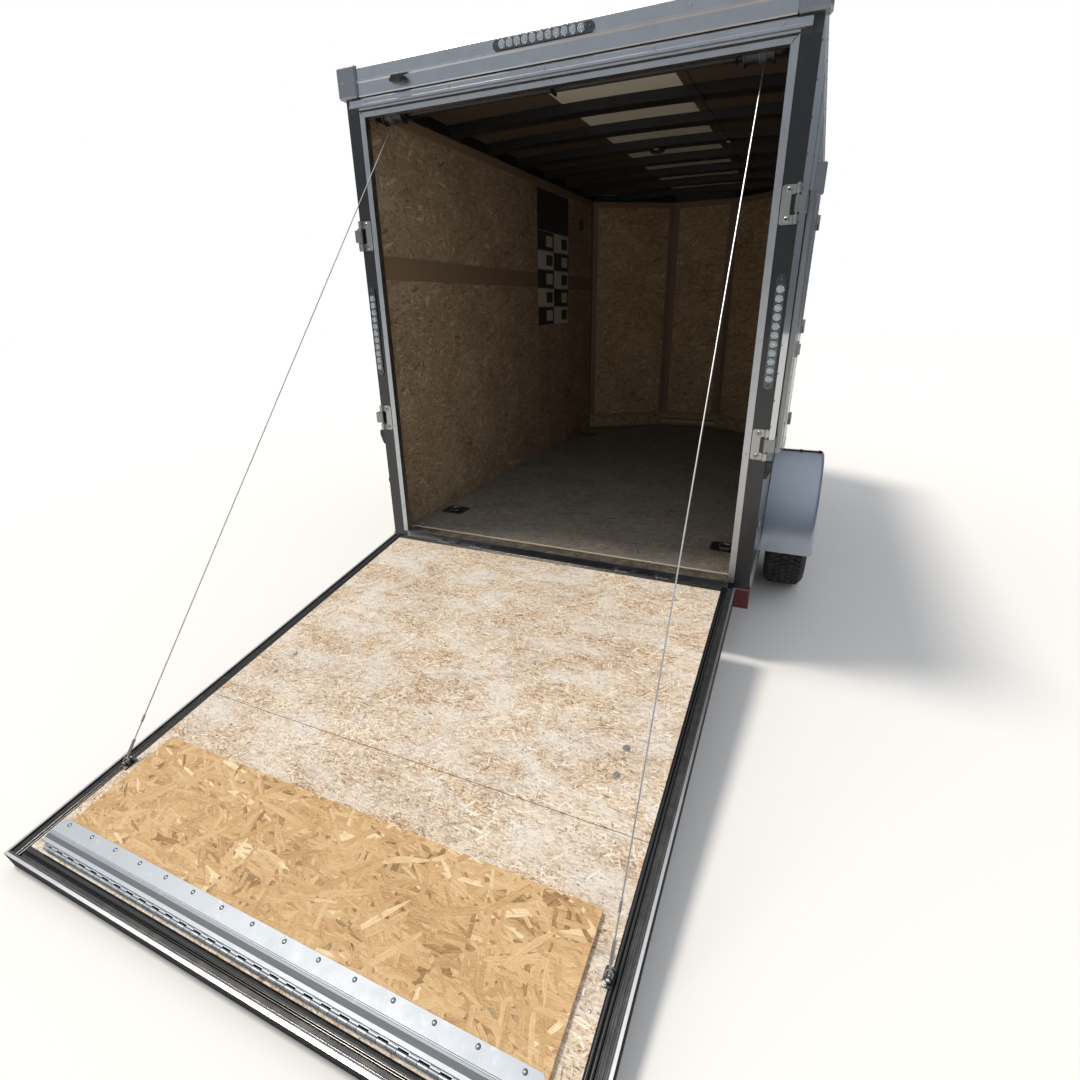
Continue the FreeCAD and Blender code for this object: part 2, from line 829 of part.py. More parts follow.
hanger_top = shaft_z + hanger_height
hangers = []
for x in (0.0, drum_x - drum_width / 2 - hanger_gap, drum_x + drum_width / 2 + hanger_gap):
    x0 = x - hanger_plate / 2
    half_foot = hanger_foot / 2
    plate = box(x0, x0 + hanger_plate, header_depth, shaft_y + 20, shaft_z - 20, hanger_top)
    foot = box(x - half_foot, x + half_foot, header_depth, header_depth + 5, header_bottom + 4, hanger_top)
    hanger = fused(plate, foot)
    hangers.extend([hanger] if x == 0 else both(hanger))
shaft = rod_x(shaft_radius, -shaft_end, shaft_end, shaft_y, shaft_z)
save("spring_shaft", fused(shaft, *hangers))

# Dome light on a bow and rings let into the floor
dome_y = first_bow + 3 * bow_pitch + bow_width / 2
dome_z = wall_height + crown(dome_x) + sheet_low - bow_depth
dome_edge = [
    (0, -seat_gap),
    (dome_radius, -seat_gap),
    (dome_radius, -dome_base),
    (dome_radius - 8, -dome_base),
    (dome_radius - 18, -dome_depth),
    (0, -dome_depth),
]
dome_wire = Part.makePolygon([Vector(dome_x + r, dome_y, dome_z + z) for r, z in dome_edge + dome_edge[:1]])
save("dome_light", Part.Face(dome_wire).revolve(Vector(dome_x, dome_y, 0), Vector(0, 0, 1), 360))
ring_x = half_body - ring_inset
pans = []
rings = []
for y in (ring_rear_y, straight_length - ring_front_setback):
    half_x = pan_length / 2
    half_y = pan_depth / 2
    pan = box(ring_x - half_x, ring_x + half_x, y - half_y, y + half_y, floor_top, floor_top + pan_sheet)
    well_x = half_x - pan_rim
    well_y = half_y - pan_rim
    well_low = floor_top + pan_floor
    well = box(ring_x - well_x, ring_x + well_x, y - well_y, y + well_y, well_low, well_low + 9)
    pans.extend(both(bevelled(pan, pan_corner, lambda e: abs(e.Length - pan_sheet) < 0.1).cut(well)))
    ring_low = well_low + seat_gap
    outer = bar_z(ring_radius + ring_bar / 2, 24, ring_x, y, ring_low, ring_low + ring_bar)
    hole = bar_z(ring_radius - ring_bar / 2, 24, ring_x, y, ring_low - 1, ring_low + ring_bar + 1)
    rings.extend(both(drilled(outer, hole)))
save("floor_rings", *pans, *rings)

# Axle: square tube under the rails, with rubber-sprung arms that carry the spindles
tube_z = rail_bottom - axle_tube / 2
arm_rise = axle_z - tube_z
tube_y = axle_y + math.sqrt(arm_length ** 2 - arm_rise ** 2)
arm_x0 = half_body + arm_gap
tube_half = arm_x0 - seat_gap
tube_low = rail_bottom - axle_tube
tube = box(-tube_half, tube_half, tube_y - axle_tube / 2, tube_y + axle_tube / 2, tube_low, rail_bottom)
bracket_y = (tube_y - axle_bracket / 2, tube_y + axle_bracket / 2)
bracket = fused(
    box(side_inner - 8, side_inner, *bracket_y, rail_bottom - 34, rail_bottom + 22),
    box(side_inner - 8, side_inner + rail_width, *bracket_y, rail_bottom - 8, rail_bottom),
)
save("axle_tube", fused(tube, *both(bracket)))


def torsion_arm():
    """Trailing arm from the tube's end up to the spindle."""
    x0 = arm_x0
    x1 = x0 + arm_thickness
    ends = [rod_x(arm_tube_radius, x0, x1, tube_y, tube_z), rod_x(arm_hub_radius, x0, x1, axle_y, axle_z)]
    lean = math.asin((arm_tube_radius - arm_hub_radius) / arm_length)
    heading = math.atan2(axle_z - tube_z, axle_y - tube_y)
    sides = []
    for turn in (1, -1):
        angle = heading + turn * (math.pi / 2 - lean)
        step = (math.cos(angle), math.sin(angle))
        low = (tube_y + arm_tube_radius * step[0], tube_z + arm_tube_radius * step[1])
        high = (axle_y + arm_hub_radius * step[0], axle_z + arm_hub_radius * step[1])
        sides.append((low, high))
    web = end_prism([sides[0][0], sides[0][1], sides[1][1], sides[1][0]], x0, x1)
    spindle = rod_x(spindle_radius, x1 - 1, tyre_centre_x + hub_reach - 8, axle_y, axle_z)
    return fused(ends[0], ends[1], web, spindle)


save("torsion_arms", *both(torsion_arm()))

# Fenders: one sheet bent over the wheel with straight rear and front legs and a turned lip
fender_x0 = half_body + 2.0 + seat_gap
fender_x1 = half_body + fender_width
fender_z = axle_z


def arch_solid(radius, x0, x1, leg):
    """Half round over the wheel with straight legs down."""
    disc = rod_x(radius, x0, x1, axle_y, fender_z)
    disc = disc.common(box(x0, x1, axle_y - 900, axle_y + 900, fender_z, fender_z + 900))
    legs = box(x0, x1, axle_y - radius, axle_y + radius, fender_z - leg, fender_z)
    return fused(disc, legs)


def fender():
    """Curb-side fender."""
    outer = arch_solid(fender_radius, fender_x0, fender_x1, fender_leg)
    outer = bevelled(
        outer,
        fender_edge,
        lambda e: e.BoundBox.XMin > fender_x1 - 1 and e.BoundBox.ZMax > fender_z - fender_leg + 1,
    )
    inner = arch_solid(fender_radius - fender_sheet, fender_x0 - 5, fender_x1 - fender_sheet, fender_leg + 10)
    inner = bevelled(
        inner,
        fender_edge - fender_sheet / 2,
        lambda e: e.BoundBox.XMin > fender_x1 - fender_sheet - 1 and e.BoundBox.ZMax > fender_z - fender_leg,
    )
    opening = arch_solid(fender_radius - fender_lip, fender_x0, fender_x1 + 20, fender_leg + 10)
    return outer.cut(inner).cut(opening)


curb_fender = fender()
save("fenders", *both(curb_fender))


def wheel(side):
    """Tyre, and rim with hub, turned about the spindle's axis."""
    half = tyre_width / 2
    bead = rim_radius + bead_height
    tyre = turned(
        [
            (rim_radius, bead_seat - half),
            (bead + sidewall_bulge, -half),
            (tyre_radius, tyre_shoulder - half),
            (tyre_radius, half - tyre_shoulder),
            (bead + sidewall_bulge, half),
            (rim_radius, half - bead_seat),
        ]
    )
    well = rim_radius - rim_sheet
    barrel = rim_radius - seat_gap
    face = half - bead_seat
    disc = turned(
        [
            (hub_radius - 10, disc_x),
            (vent_circle + vent_margin, disc_x),
            (well, disc_x - disc_rake),
            (well, -face),
            (barrel, -face),
            (barrel, face),
            (well, face),
            (well, disc_x + rim_sheet - disc_rake),
            (vent_circle + vent_margin, disc_x + rim_sheet),
            (hub_radius - 10, disc_x + rim_sheet),
        ]
    )
    holes = []
    for index in range(vent_count):
        angle = 2 * math.pi * (index + 0.5) / vent_count
        centre = (vent_circle * math.cos(angle), vent_circle * math.sin(angle))
        holes.append(rod_x(vent_radius, 0, half, *centre))
    disc = drilled(disc, *holes)
    bore = rod_x(spindle_radius + seat_gap, -half, hub_reach - 4, 0, 0)
    body = fused(
        rod_x(hub_radius, 38 - hub_length, 38, 0, 0),
        rod_x(hub_cap_radius, 30, hub_reach, 0, 0),
    )
    shapes = [tyre, fused(disc, drilled(body, bore))]
    placed = []
    for shape in shapes:
        shape.translate(Vector(tyre_centre_x, axle_y, axle_z))
        placed.append(shape if side > 0 else mirrored(shape))
    return placed


def turned(profile):
    """Turn an (r, x) profile about the wheel's axis."""
    points = [Vector(x, 0, r) for r, x in profile]
    wire = Part.makePolygon(points + points[:1])
    return Part.Face(wire).revolve(Vector(0, 0, 0), Vector(1, 0, 0), 360)


for side, word in ((1, "curb"), (-1, "road")):
    tyre, rim = wheel(side)
    save("tyre_" + word, tyre)
    save("rim_" + word, rim)


# Ramp door, built flat and then turned down about its hinge axis
def ramp_box(x0, x1, u0, u1, w0, w1):
    """A block on the ramp, from its own u and w."""
    return box(x0, x1, hinge_y - u1, hinge_y - u0, hinge_z + w0, hinge_z + w1)


def laid(shape):
    """Turn a piece of the ramp from flat down to the ground."""
    turned_shape = shape.copy()
    turned_shape.rotate(Vector(0, hinge_y, hinge_z), Vector(1, 0, 0), math.degrees(ramp_slope))
    return turned_shape


deck = ramp_box(-deck_half_width, deck_half_width, deck_near, deck_far, deck_top - deck_thickness, deck_top)
save("ramp_deck", laid(deck))
frame_top = deck_top - seal_recess
hollow_bottom = ramp_bottom + ramp_skin
frame_outer_x = ramp_half_width - edge_strip
frame_inner_x = deck_half_width - frame_width
frame_far = ramp_far - edge_strip
seat_bottom = deck_top - deck_thickness
seat_top = frame_top + 5
deck_seat = ramp_box(-deck_half_width, deck_half_width, deck_near, deck_far, seat_bottom, seat_top)
side_rail = ramp_box(frame_inner_x, frame_outer_x, ramp_near, frame_far, hollow_bottom, frame_top)
frame_pieces = both(side_rail.cut(deck_seat))
cross_x = frame_inner_x - 0.5
for u0, u1 in ((ramp_near, deck_near + 20), (deck_far - frame_width, frame_far)):
    end_rail = ramp_box(-cross_x, cross_x, u0, u1, hollow_bottom, frame_top)
    frame_pieces.append(end_rail.cut(deck_seat))
for i in range(rib_count):
    u = deck_near + deck_length * (i + 1) / (rib_count + 1) - ramp_rib_width / 2
    frame_pieces.append(ramp_box(-cross_x, cross_x, u, u + ramp_rib_width, hollow_bottom, seat_bottom))
save("ramp_frame", *[laid(s) for s in frame_pieces])
skin_sheet = ramp_box(-frame_outer_x, frame_outer_x, ramp_near, frame_far, ramp_bottom, hollow_bottom)
save("ramp_skin", laid(skin_sheet))
edge_side = ramp_box(frame_outer_x, ramp_half_width, ramp_near, ramp_far, ramp_bottom, deck_top)
edge_x = frame_outer_x - 0.5
edge_end = ramp_box(-edge_x, edge_x, frame_far, ramp_far, ramp_bottom, deck_top)
save("ramp_edge", *[laid(s) for s in both(edge_side) + [edge_end]])

# Ramp hinges: two fixed knuckles, a pin, and one knuckle between them on the ramp
fixed_hinges = []
ramp_hinges = []
for x in hinge_places:
    half = knuckle_length / 2
    ends = []
    for side in (-1, 1):
        a = x + side * (half + knuckle_gap)
        b = x + side * (half + knuckle_gap + knuckle_end)
        x0, x1 = min(a, b), max(a, b)
        ends.append(rod_x(knuckle_radius, x0, x1, hinge_y, hinge_z))
        ends.append(box(x0, x1, hinge_y, -sill_sheet - seat_gap, hinge_z - knuckle_radius, hinge_z + 2))
    pin_half = half + knuckle_gap + knuckle_end
    pin = rod_x(hinge_pin_radius, x - pin_half, x + pin_half, hinge_y, hinge_z)
    fixed_hinges.append(fused(ends[0], *ends[1:], pin))
    barrel = rod_x(knuckle_radius, x - half, x + half, hinge_y, hinge_z)
    web = box(x - half, x + half, hinge_y - ramp_near, hinge_y - knuckle_radius + 3, hinge_z - 4, hinge_z + 4)
    bore = rod_x(hinge_bore_radius, x - half - 5, x + half + 5, hinge_y, hinge_z)
    ramp_hinges.append(laid(drilled(fused(barrel, web), bore)))
save("hinge_fixed", *fixed_hinges)
save("hinge_ramp", *ramp_hinges)

# Cable brackets on the ramp's edges and the two stay cables
bracket_u = deck_far - bracket_setback
bracket_x0 = deck_half_width - bracket_wide
bracket_x1 = deck_half_width + 8
half_plate = bracket_length / 2
half_ear = bracket_ear / 2
ear_low = deck_top + bracket_sheet
bracket = fused(
    ramp_box(bracket_x0, bracket_x1, bracket_u - half_plate, bracket_u + half_plate, deck_top, ear_low),
    ramp_box(
        deck_half_width - 12,
        bracket_x1,
        bracket_u - half_ear,
        bracket_u + half_ear,
        ear_low,
        deck_top + bracket_height,
    ),
)
save("cable_brackets", *[laid(s) for s in both(bracket)])
cable_start = Vector(cable_x, shaft_y - 4.0, shaft_z - drum_radius - 1.0)


def cable():
    """Straight stay cable from the drum to its bracket."""
    low = deck_top + bracket_height + cable_radius + seat_gap
    x = deck_half_width - 2
    end_local = ramp_box(x - 1, x + 1, bracket_u - 1, bracket_u + 1, low, low + 0.2)
    end = laid(end_local).CenterOfMass
    run = end.sub(cable_start)
    return Part.makeCylinder(cable_radius, run.Length, cable_start, run), run.Length, end


stay, stay_length, stay_end = cable()
save("ramp_cables", *both(stay))

# Transition flap with its piano hinge
flap_near = flap_pin_u - flap_length
leaf_low = deck_top + flap_lift + flap_thickness
leaf_base = leaf_low - flap_leaf
leaf_clear = flap_knuckle_radius + 1.5
board_end = flap_pin_u - flap_board_gap
board = ramp_box(-flap_half_width, flap_half_width, flap_near, board_end, deck_top + flap_lift, leaf_low)
save("flap_board", laid(board))
strip_end = flap_pin_u - leaf_clear
fold_end = board_end + flap_strip_fold
end_low = leaf_low - flap_strip_drop
end_base = leaf_base - flap_strip_drop
strip_start = board_end - flap_strip_width
strip_x0 = -flap_half_width - flap_strip_overhang
strip_top = leaf_low + flap_strip_thickness
strip_edge = [
    (strip_start, leaf_low),
    (strip_start, strip_top),
    (board_end, strip_top),
    (fold_end, strip_top - flap_strip_drop),
    (strip_end, strip_top - flap_strip_drop),
    (strip_end, end_low),
    (fold_end, end_low),
    (board_end, leaf_low),
]
strip_side = [(hinge_y - u, hinge_z + w) for u, w in strip_edge]
save("flap_strip", laid(end_prism(strip_side, strip_x0, flap_half_width)))
knuckle_pitch = flap_half_width / flap_knuckle_pairs
pin_y = hinge_y - flap_pin_u
pin_z = hinge_z + flap_pin_w
leaf_end = flap_pin_u - leaf_clear
swinging = [ramp_box(-flap_half_width, flap_half_width, fold_end, leaf_end, end_base, end_low)]
fixed = [bar_x(flap_pin_radius, 12, -flap_half_width, flap_half_width, pin_y, pin_z)]
bores = []
for i in range(2 * flap_knuckle_pairs):
    x0 = -flap_half_width + knuckle_pitch * i + knuckle_gap / 2
    x1 = x0 + knuckle_pitch - knuckle_gap
    barrel = bar_x(flap_knuckle_radius, 12, x0, x1, pin_y, pin_z)
    if i % 2:
        swinging.append(barrel)
        swinging.append(ramp_box(x0, x1, leaf_end - 1, flap_pin_u - 2, end_base, end_low))
        bores.append(bar_x(flap_bore_radius, 12, x0 - 1, x1 + 1, pin_y, pin_z))
    else:
        foot = ramp_box(x0, x1, flap_pin_u - 2, flap_pin_u + 2, deck_top, flap_pin_w)
        base = ramp_box(x0, x1, flap_pin_u - 18, flap_pin_u + 4, deck_top, deck_top + 2)
        fixed.extend([barrel, foot, base])
save("flap_hinge_moving", laid(drilled(fused(*swinging), *bores)))
save("flap_hinge_fixed", laid(fused(*fixed)))

# Side door: one panel as thick as the wall, jamb flanges round the opening, hinges and latch
door = box(side_x0, half_body, door_rear, door_front, door_bottom, door_top)
door = rounded(door, door_corner, lambda e: abs(e.Length - wall_thickness) < 0.1)
save("side_door", door)
flange_x = half_body + seat_gap
jamb = []
wide = door_flange_width
for y0, y1, z0, z1 in (
    (opening_rear - wide, opening_rear, door_bottom - 30, door_top + 30),
    (opening_rear + 0.5, opening_front - 0.5, door_top + door_gap, door_top + door_gap + wide),
    (opening_rear + 0.5, opening_front - 0.5, door_bottom - door_gap - wide, door_bottom - door_gap),
):
    jamb.append(box(flange_x, flange_x + door_flange_thickness, y0, y1, z0, z1))
save("door_jamb", *jamb)
hinge_line_x = half_body + door_hinge_out
hinge_line_y = door_front + door_gap / 2 + 6
fixed_butts = []
door_butts = []
hinge_zs = (door_bottom + door_hinge_margin, (door_bottom + door_top) / 2, door_top - door_hinge_margin)
for z in hinge_zs:
    reach = door_knuckle + knuckle_gap / 2
    spans = ((z - reach, z - knuckle_gap / 2, "wall"), (z + knuckle_gap / 2, z + reach, "door"))
    for low, high, target in spans:
        barrel = rod_z(door_hinge_radius, hinge_line_x, hinge_line_y, low, high)
        bore = rod_z(door_bore_radius, hinge_line_x, hinge_line_y, low - 1, high + 1)
        leaf_x = half_body + door_leaf
        if target == "wall":
            wall_x = half_body + seat_gap
            leaf = box(wall_x, leaf_x, hinge_line_y, hinge_line_y + door_leaf_reach, low, high)
            step = box(wall_x, hinge_line_x, hinge_line_y - 3, hinge_line_y + 8, low, high)
            pin = rod_z(door_pin_radius, hinge_line_x, hinge_line_y, z - reach, z + reach)
            fixed_butts.append(fused(barrel, leaf, step, pin))
        else:
            leaf = box(half_body, leaf_x, door_front - door_leaf_reach, hinge_line_y - 9, low, high)
            step = box(half_body, hinge_line_x, hinge_line_y - 13, hinge_line_y - 4, low, high)
            door_butts.append(drilled(fused(barrel, leaf, step), bore))
save("door_hinges_wall", *fixed_butts)
save("door_hinges_leaf", *door_butts)
latch_y0 = door_rear + 30
latch_z1 = door_latch_z + door_latch_size
paddle_y0 = latch_y0 + 14
paddle_y1 = latch_y0 + door_latch_size - 14
handle = fused(
    box(half_body, half_body + 16, latch_y0, latch_y0 + door_latch_size, door_latch_z, latch_z1),
    box(half_body + 16, half_body + 28, paddle_y0, paddle_y1, door_latch_z + 15, latch_z1 - 15),
)
save("door_latch", bevelled(handle, 4.0, lambda e: e.BoundBox.XMin > half_body + 27))

# Side bars: plates and knuckles on the posts, arms and an upright bar with a tab that swing
latch_x = half_body - latch_inset
half_barrel = latch_knuckle / 2
notch = half_barrel + 6
all_plates = []
for side, word in ((1, "curb"), (-1, "road")):
    moving = []
    for z in (latch_plate_low, latch_plate_high):
        low = z - latch_plate_height / 2
        high = z + latch_plate_height / 2
        plate_x0 = latch_x - latch_plate_width
        plate = box(plate_x0, latch_x + 2, -latch_plate_sheet, 0, low, high)
        pieces = []
        for a, b in ((low, z - notch), (z + notch, high)):
            pieces.append(rod_z(latch_radius, latch_x, latch_y, a, b))
            pieces.append(box(latch_x - latch_radius, latch_x, latch_y, 1 - latch_plate_sheet, a, b))
        pin = rod_z(latch_pin_radius, latch_x, latch_y, low, high)
        mouth = box(plate_x0 + 12, latch_x + 3, -latch_plate_sheet - 1, 1, z - notch, z + notch)
        fixed = fused(drilled(plate, mouth), *pieces, pin)
        all_plates.append(fixed if side > 0 else mirrored(fixed))
        a = z - half_barrel
        b = z + half_barrel
        arm_y = latch_y - 7
        arm_x = latch_x + latch_arm_out
        barrel = rod_z(latch_radius, latch_x, latch_y, a, b)
        out = box(latch_x, arm_x, arm_y, arm_y + latch_arm_sheet, a, b)
        reach = box(arm_x - latch_arm_sheet, arm_x, arm_y, latch_y + latch_arm_reach, a, b)
        bore = rod_z(latch_bore_radius, latch_x, latch_y, a - 5, b + 5)
        moving.append(drilled(fused(barrel, out, reach), bore))
    bar_x0 = latch_x + latch_arm_out - latch_arm_sheet
    bar_y0 = latch_y + latch_arm_reach
    bar_x1 = bar_x0 + latch_bar_width
    bar = box(bar_x0, bar_x1, bar_y0, bar_y0 + latch_bar_depth, latch_bar_low, latch_bar_high)
    tab_x0 = latch_x + latch_arm_out + 15
    tab_low = latch_tab_lows[word]
    tab_y0 = bar_y0 + 4
    tab_x1 = tab_x0 + latch_tab_width
    tab = box(tab_x0, tab_x1, tab_y0, tab_y0 + latch_tab_sheet, tab_low, tab_low + latch_tab_height)
    swing = fused(bar, tab, *moving)
    save("latch_bar_" + word, swing if side > 0 else mirrored(swing))
save("latch_plates", *all_plates)

# Places that the record needs, in the stored frame
print("slope_deg", round(math.degrees(ramp_slope), 4))
print("centre_y", round(centre_y, 3), "coupler_front", coupler_front, "ramp_reach", round(ramp_reach, 3))
print("cable", round(stay_length, 1), "top", cable_start, "end", stay_end)
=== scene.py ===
# %% [markdown]
# # Enclosed cargo trailer with a rear ramp door
# The imported CAD model is the frame: sizes and places are worked out from its nodes, and each piece but
# the stay ropes rides on one of its bodies. X is to the curb side, Y forward, Z up, in metres.

import json
import math
from collections import namedtuple

import bmesh
import bpy
from mathutils import Matrix, Vector


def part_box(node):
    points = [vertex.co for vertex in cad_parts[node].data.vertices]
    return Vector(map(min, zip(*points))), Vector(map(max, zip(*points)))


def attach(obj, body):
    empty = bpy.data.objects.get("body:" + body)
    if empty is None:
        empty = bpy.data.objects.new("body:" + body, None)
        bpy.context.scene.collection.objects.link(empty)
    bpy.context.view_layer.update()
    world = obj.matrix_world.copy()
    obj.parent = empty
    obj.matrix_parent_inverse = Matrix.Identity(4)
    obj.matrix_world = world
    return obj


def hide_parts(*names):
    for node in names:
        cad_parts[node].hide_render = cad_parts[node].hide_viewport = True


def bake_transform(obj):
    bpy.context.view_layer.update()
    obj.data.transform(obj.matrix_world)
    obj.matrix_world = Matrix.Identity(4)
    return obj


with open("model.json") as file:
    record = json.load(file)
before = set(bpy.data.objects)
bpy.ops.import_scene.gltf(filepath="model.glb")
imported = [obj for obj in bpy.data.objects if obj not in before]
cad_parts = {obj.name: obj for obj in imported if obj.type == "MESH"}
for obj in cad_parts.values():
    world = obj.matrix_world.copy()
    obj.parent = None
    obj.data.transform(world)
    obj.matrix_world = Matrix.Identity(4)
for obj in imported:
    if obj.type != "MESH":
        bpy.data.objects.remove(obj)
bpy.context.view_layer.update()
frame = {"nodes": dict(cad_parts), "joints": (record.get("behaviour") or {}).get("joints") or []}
nodes = frame["nodes"]
joints = {joint["name"]: joint for joint in frame["joints"]}

# %% [markdown]
# ## Places that later cells share
# Most cells work in mm from the posts' rear face and the sill. The ramp has its own flat frame: x across,
# u out from the hinge and w up from it.

# %% Shared places
MM = 0.001
sides = (-1, 1)
named_sides = ((1, "curb"), (-1, "road"))
Place = namedtuple("Place", "x y z")
rear_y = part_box("rear_posts")[0].y
sill_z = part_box("sill_plate")[1].z
ramp_slope = math.radians(joints["ramp_hinge"]["range_deg"][1] - 90)
ramp_frame = Matrix.Translation(joints["ramp_hinge"]["pos_m"]) @ Matrix.Rotation(ramp_slope, 4, "X")


def at(x, y, z):
    """A point in mm from the posts' rear face and the sill, as a place in metres."""
    return Vector((x * MM, rear_y + y * MM, sill_z + z * MM))


def on_ramp(x, u, w):
    """A point in mm on the flat ramp, out from the hinge by u, as a place in metres."""
    return ramp_frame @ Vector((x * MM, -u * MM, w * MM))


def mirrored(side, put=at):
    """Either of the two above, with x outward on one side."""
    return lambda x, y, z: put(side * x, y, z)


def spaced(low, high, gaps):
    """Values or places at even steps from low to high."""
    return [low + (high - low) * step / gaps for step in range(gaps + 1)]


def box_mm(node):
    """Lowest and highest corner of a CAD node, in mm from the posts' rear face and the sill."""
    return [Place(c.x / MM, (c.y - rear_y) / MM, (c.z - sill_z) / MM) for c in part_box(node)]


def show(name, data):
    """An object in the scene for a mesh, camera or light."""
    made = bpy.data.objects.new(name, data)
    bpy.context.scene.collection.objects.link(made)
    return made


body_mm = box_mm("rear_posts")[1].x
open_half = box_mm("sill_plate")[1].x
floor_mm = box_mm("floor")[1].z
wall_low, wall_top = (corner.z for corner in box_mm("wall_road"))
# The straight wall's end, the nose's front and half its flat face, the depth of the header and the lining,
# and the bows' first place and pitch.
straight_mm, front_mm, nose_flat = 3060, 3475, 268
header_mm, lining_mm = 32, 39
first_bow, bow_pitch = 305, 406
print("slope", round(math.degrees(ramp_slope), 3), "rear_y", round(rear_y, 4), "sill_z", round(sill_z, 4))

# %% [markdown]
# ## Camera
# The photo is a wide-angle one, taken from behind the curb-side post at standing height. The camera's
# place and turn were solved from the doorway, the ramp and the walls.

# %% Camera
camera_at = (1021.1, -2371.2, 1106.7)
yaw, pitch, roll = 0.4250, -0.3817, -0.0151
focal_px, image_px = 581.85, 1080

camera = bpy.data.cameras.new("camera")
camera.sensor_width = 36
camera.lens = focal_px / image_px * camera.sensor_width
camera.clip_start, camera.clip_end = 0.02, 100
look = Vector((-math.sin(yaw) * math.cos(pitch), math.cos(yaw) * math.cos(pitch), math.sin(pitch)))
level = Vector((math.cos(yaw), math.sin(yaw), 0))
steady = level.cross(look)
right = level * math.cos(roll) + steady * math.sin(roll)
up = steady * math.cos(roll) - level * math.sin(roll)
camera_turn = Matrix((right, up, -look)).transposed().to_4x4()
camera_object = show("camera", camera)
camera_object.matrix_world = Matrix.Translation(at(*camera_at)) @ camera_turn
bpy.context.scene.camera = camera_object
print("camera", [round(value, 3) for value in camera_object.location], "lens", round(camera.lens, 2))

# %% [markdown]
# ## Material helpers
# Colours are written as sRGB hex values, as a paint chart gives them, and turned to linear once here.
# One function adds a shader node with its settings and links.


# %% Colour and node helpers
def linear(hex_colour):
    """Linear RGBA of an sRGB hex colour."""
    channels = [int(hex_colour[i : i + 2], 16) / 255 for i in (1, 3, 5)]
    return tuple(c / 12.92 if c < 0.04045 else ((c + 0.055) / 1.055) ** 2.4 for c in channels) + (1.0,)


def feed(tree, node, inputs):
    """Give a node's sockets their values or links."""
    for name, value in inputs.items():
        if isinstance(value, bpy.types.NodeSocket):
            tree.links.new(value, node.inputs[name])
        else:
            node.inputs[name].default_value = value


def add(tree, kind, inputs=None, **settings):
    """A new node: settings are its properties, inputs its sockets' values or links."""
    made = tree.nodes.new(kind if kind.startswith("Node") else "ShaderNode" + kind)
    for name, value in settings.items():
        setattr(made, name, value)
    feed(tree, made, inputs or {})
    return made


def maths(tree, operation, a, b=0.0):
    """One step of arithmetic on two values."""
    return add(tree, "Math", {0: a, 1: b}, operation=operation).outputs[0]


def vectors(tree, operation, a, b=(0, 0, 0)):
    """One step of arithmetic on two vectors."""
    return add(tree, "VectorMath", {0: a, 1: b}, operation=operation).outputs[0]


def scaled(tree, vector, factor):
    """A vector or colour times a factor."""
    return add(tree, "VectorMath", {0: vector, "Scale": factor}, operation="SCALE").outputs[0]


def ranged(tree, value, low, high, new_low, new_high):
    """A value's run from low to high, held to new limits."""
    limits = {"From Min": low, "From Max": high, "To Min": new_low, "To Max": new_high}
    return add(tree, "MapRange", {"Value": value, **limits}).outputs[0]


def mixed(tree, factor, a, b):
    """Colour b over colour a by factor."""
    return add(tree, "Mix", {"Factor": factor, 6: a, 7: b}, data_type="RGBA").outputs[2]


def ramp_colours(tree, factor, stops):
    """A colour ramp with (place, hex) stops, driven by factor."""
    made = add(tree, "ValToRGB", {"Fac": factor})
    points = made.color_ramp.elements
    while len(points) < len(stops):
        points.new(0.5)
    for point, (place, colour) in zip(points, stops):
        point.position = place
        point.color = linear(colour)
    return made.outputs["Color"]


def noise(tree, vector, size_mm, detail=3.0, rough=0.55, stretch=(1, 1, 1), warp=0.0):
    """Noise whose blotches are size_mm across; stretch draws them out along an axis, warp curls them."""
    scale = [1 / (size_mm * MM * s) for s in stretch]
    mapped = add(tree, "Mapping", {"Vector": vector, "Scale": scale}).outputs["Vector"]
    settings = {"Vector": mapped, "Scale": 1.0, "Detail": detail, "Roughness": rough, "Distortion": warp}
    return add(tree, "TexNoise", settings).outputs["Fac"]


def bump(tree, shader, height, distance_mm):
    """Small relief of the surface, as deep as distance_mm."""
    made = add(tree, "Bump", {"Height": height, "Distance": distance_mm * MM, "Strength": 1.0})
    feed(tree, shader, {"Normal": made.outputs["Normal"]})


def start(name):
    """A new material: its tree, its main shader and the place on the object in metres."""
    material = bpy.data.materials.new(name)
    material.use_nodes = True
    tree = material.node_tree
    return material, tree, tree.nodes["Principled BSDF"], add(tree, "TexCoord").outputs["Object"]


print("helpers ready")

# %% [markdown]
# ## Oriented strand board
# OSB is pressed from long thin strands of wood, laid in many directions and glued, then sanded lightly.
# The strands are drawn in nodes: each layer is a Voronoi pattern whose cells are cut to long rectangles
# and turned by its own angle. The strand with the highest random number lies on top, as in the real mat.

# %% Strand pattern shared by every board
strand_layers = ((6, 1.0), (38, 0.62), (-24, 1.2), (74, 0.8), (14, 0.5), (-52, 1.1), (-7, 0.72))
strand_half = (0.47, 0.42, 1.0)


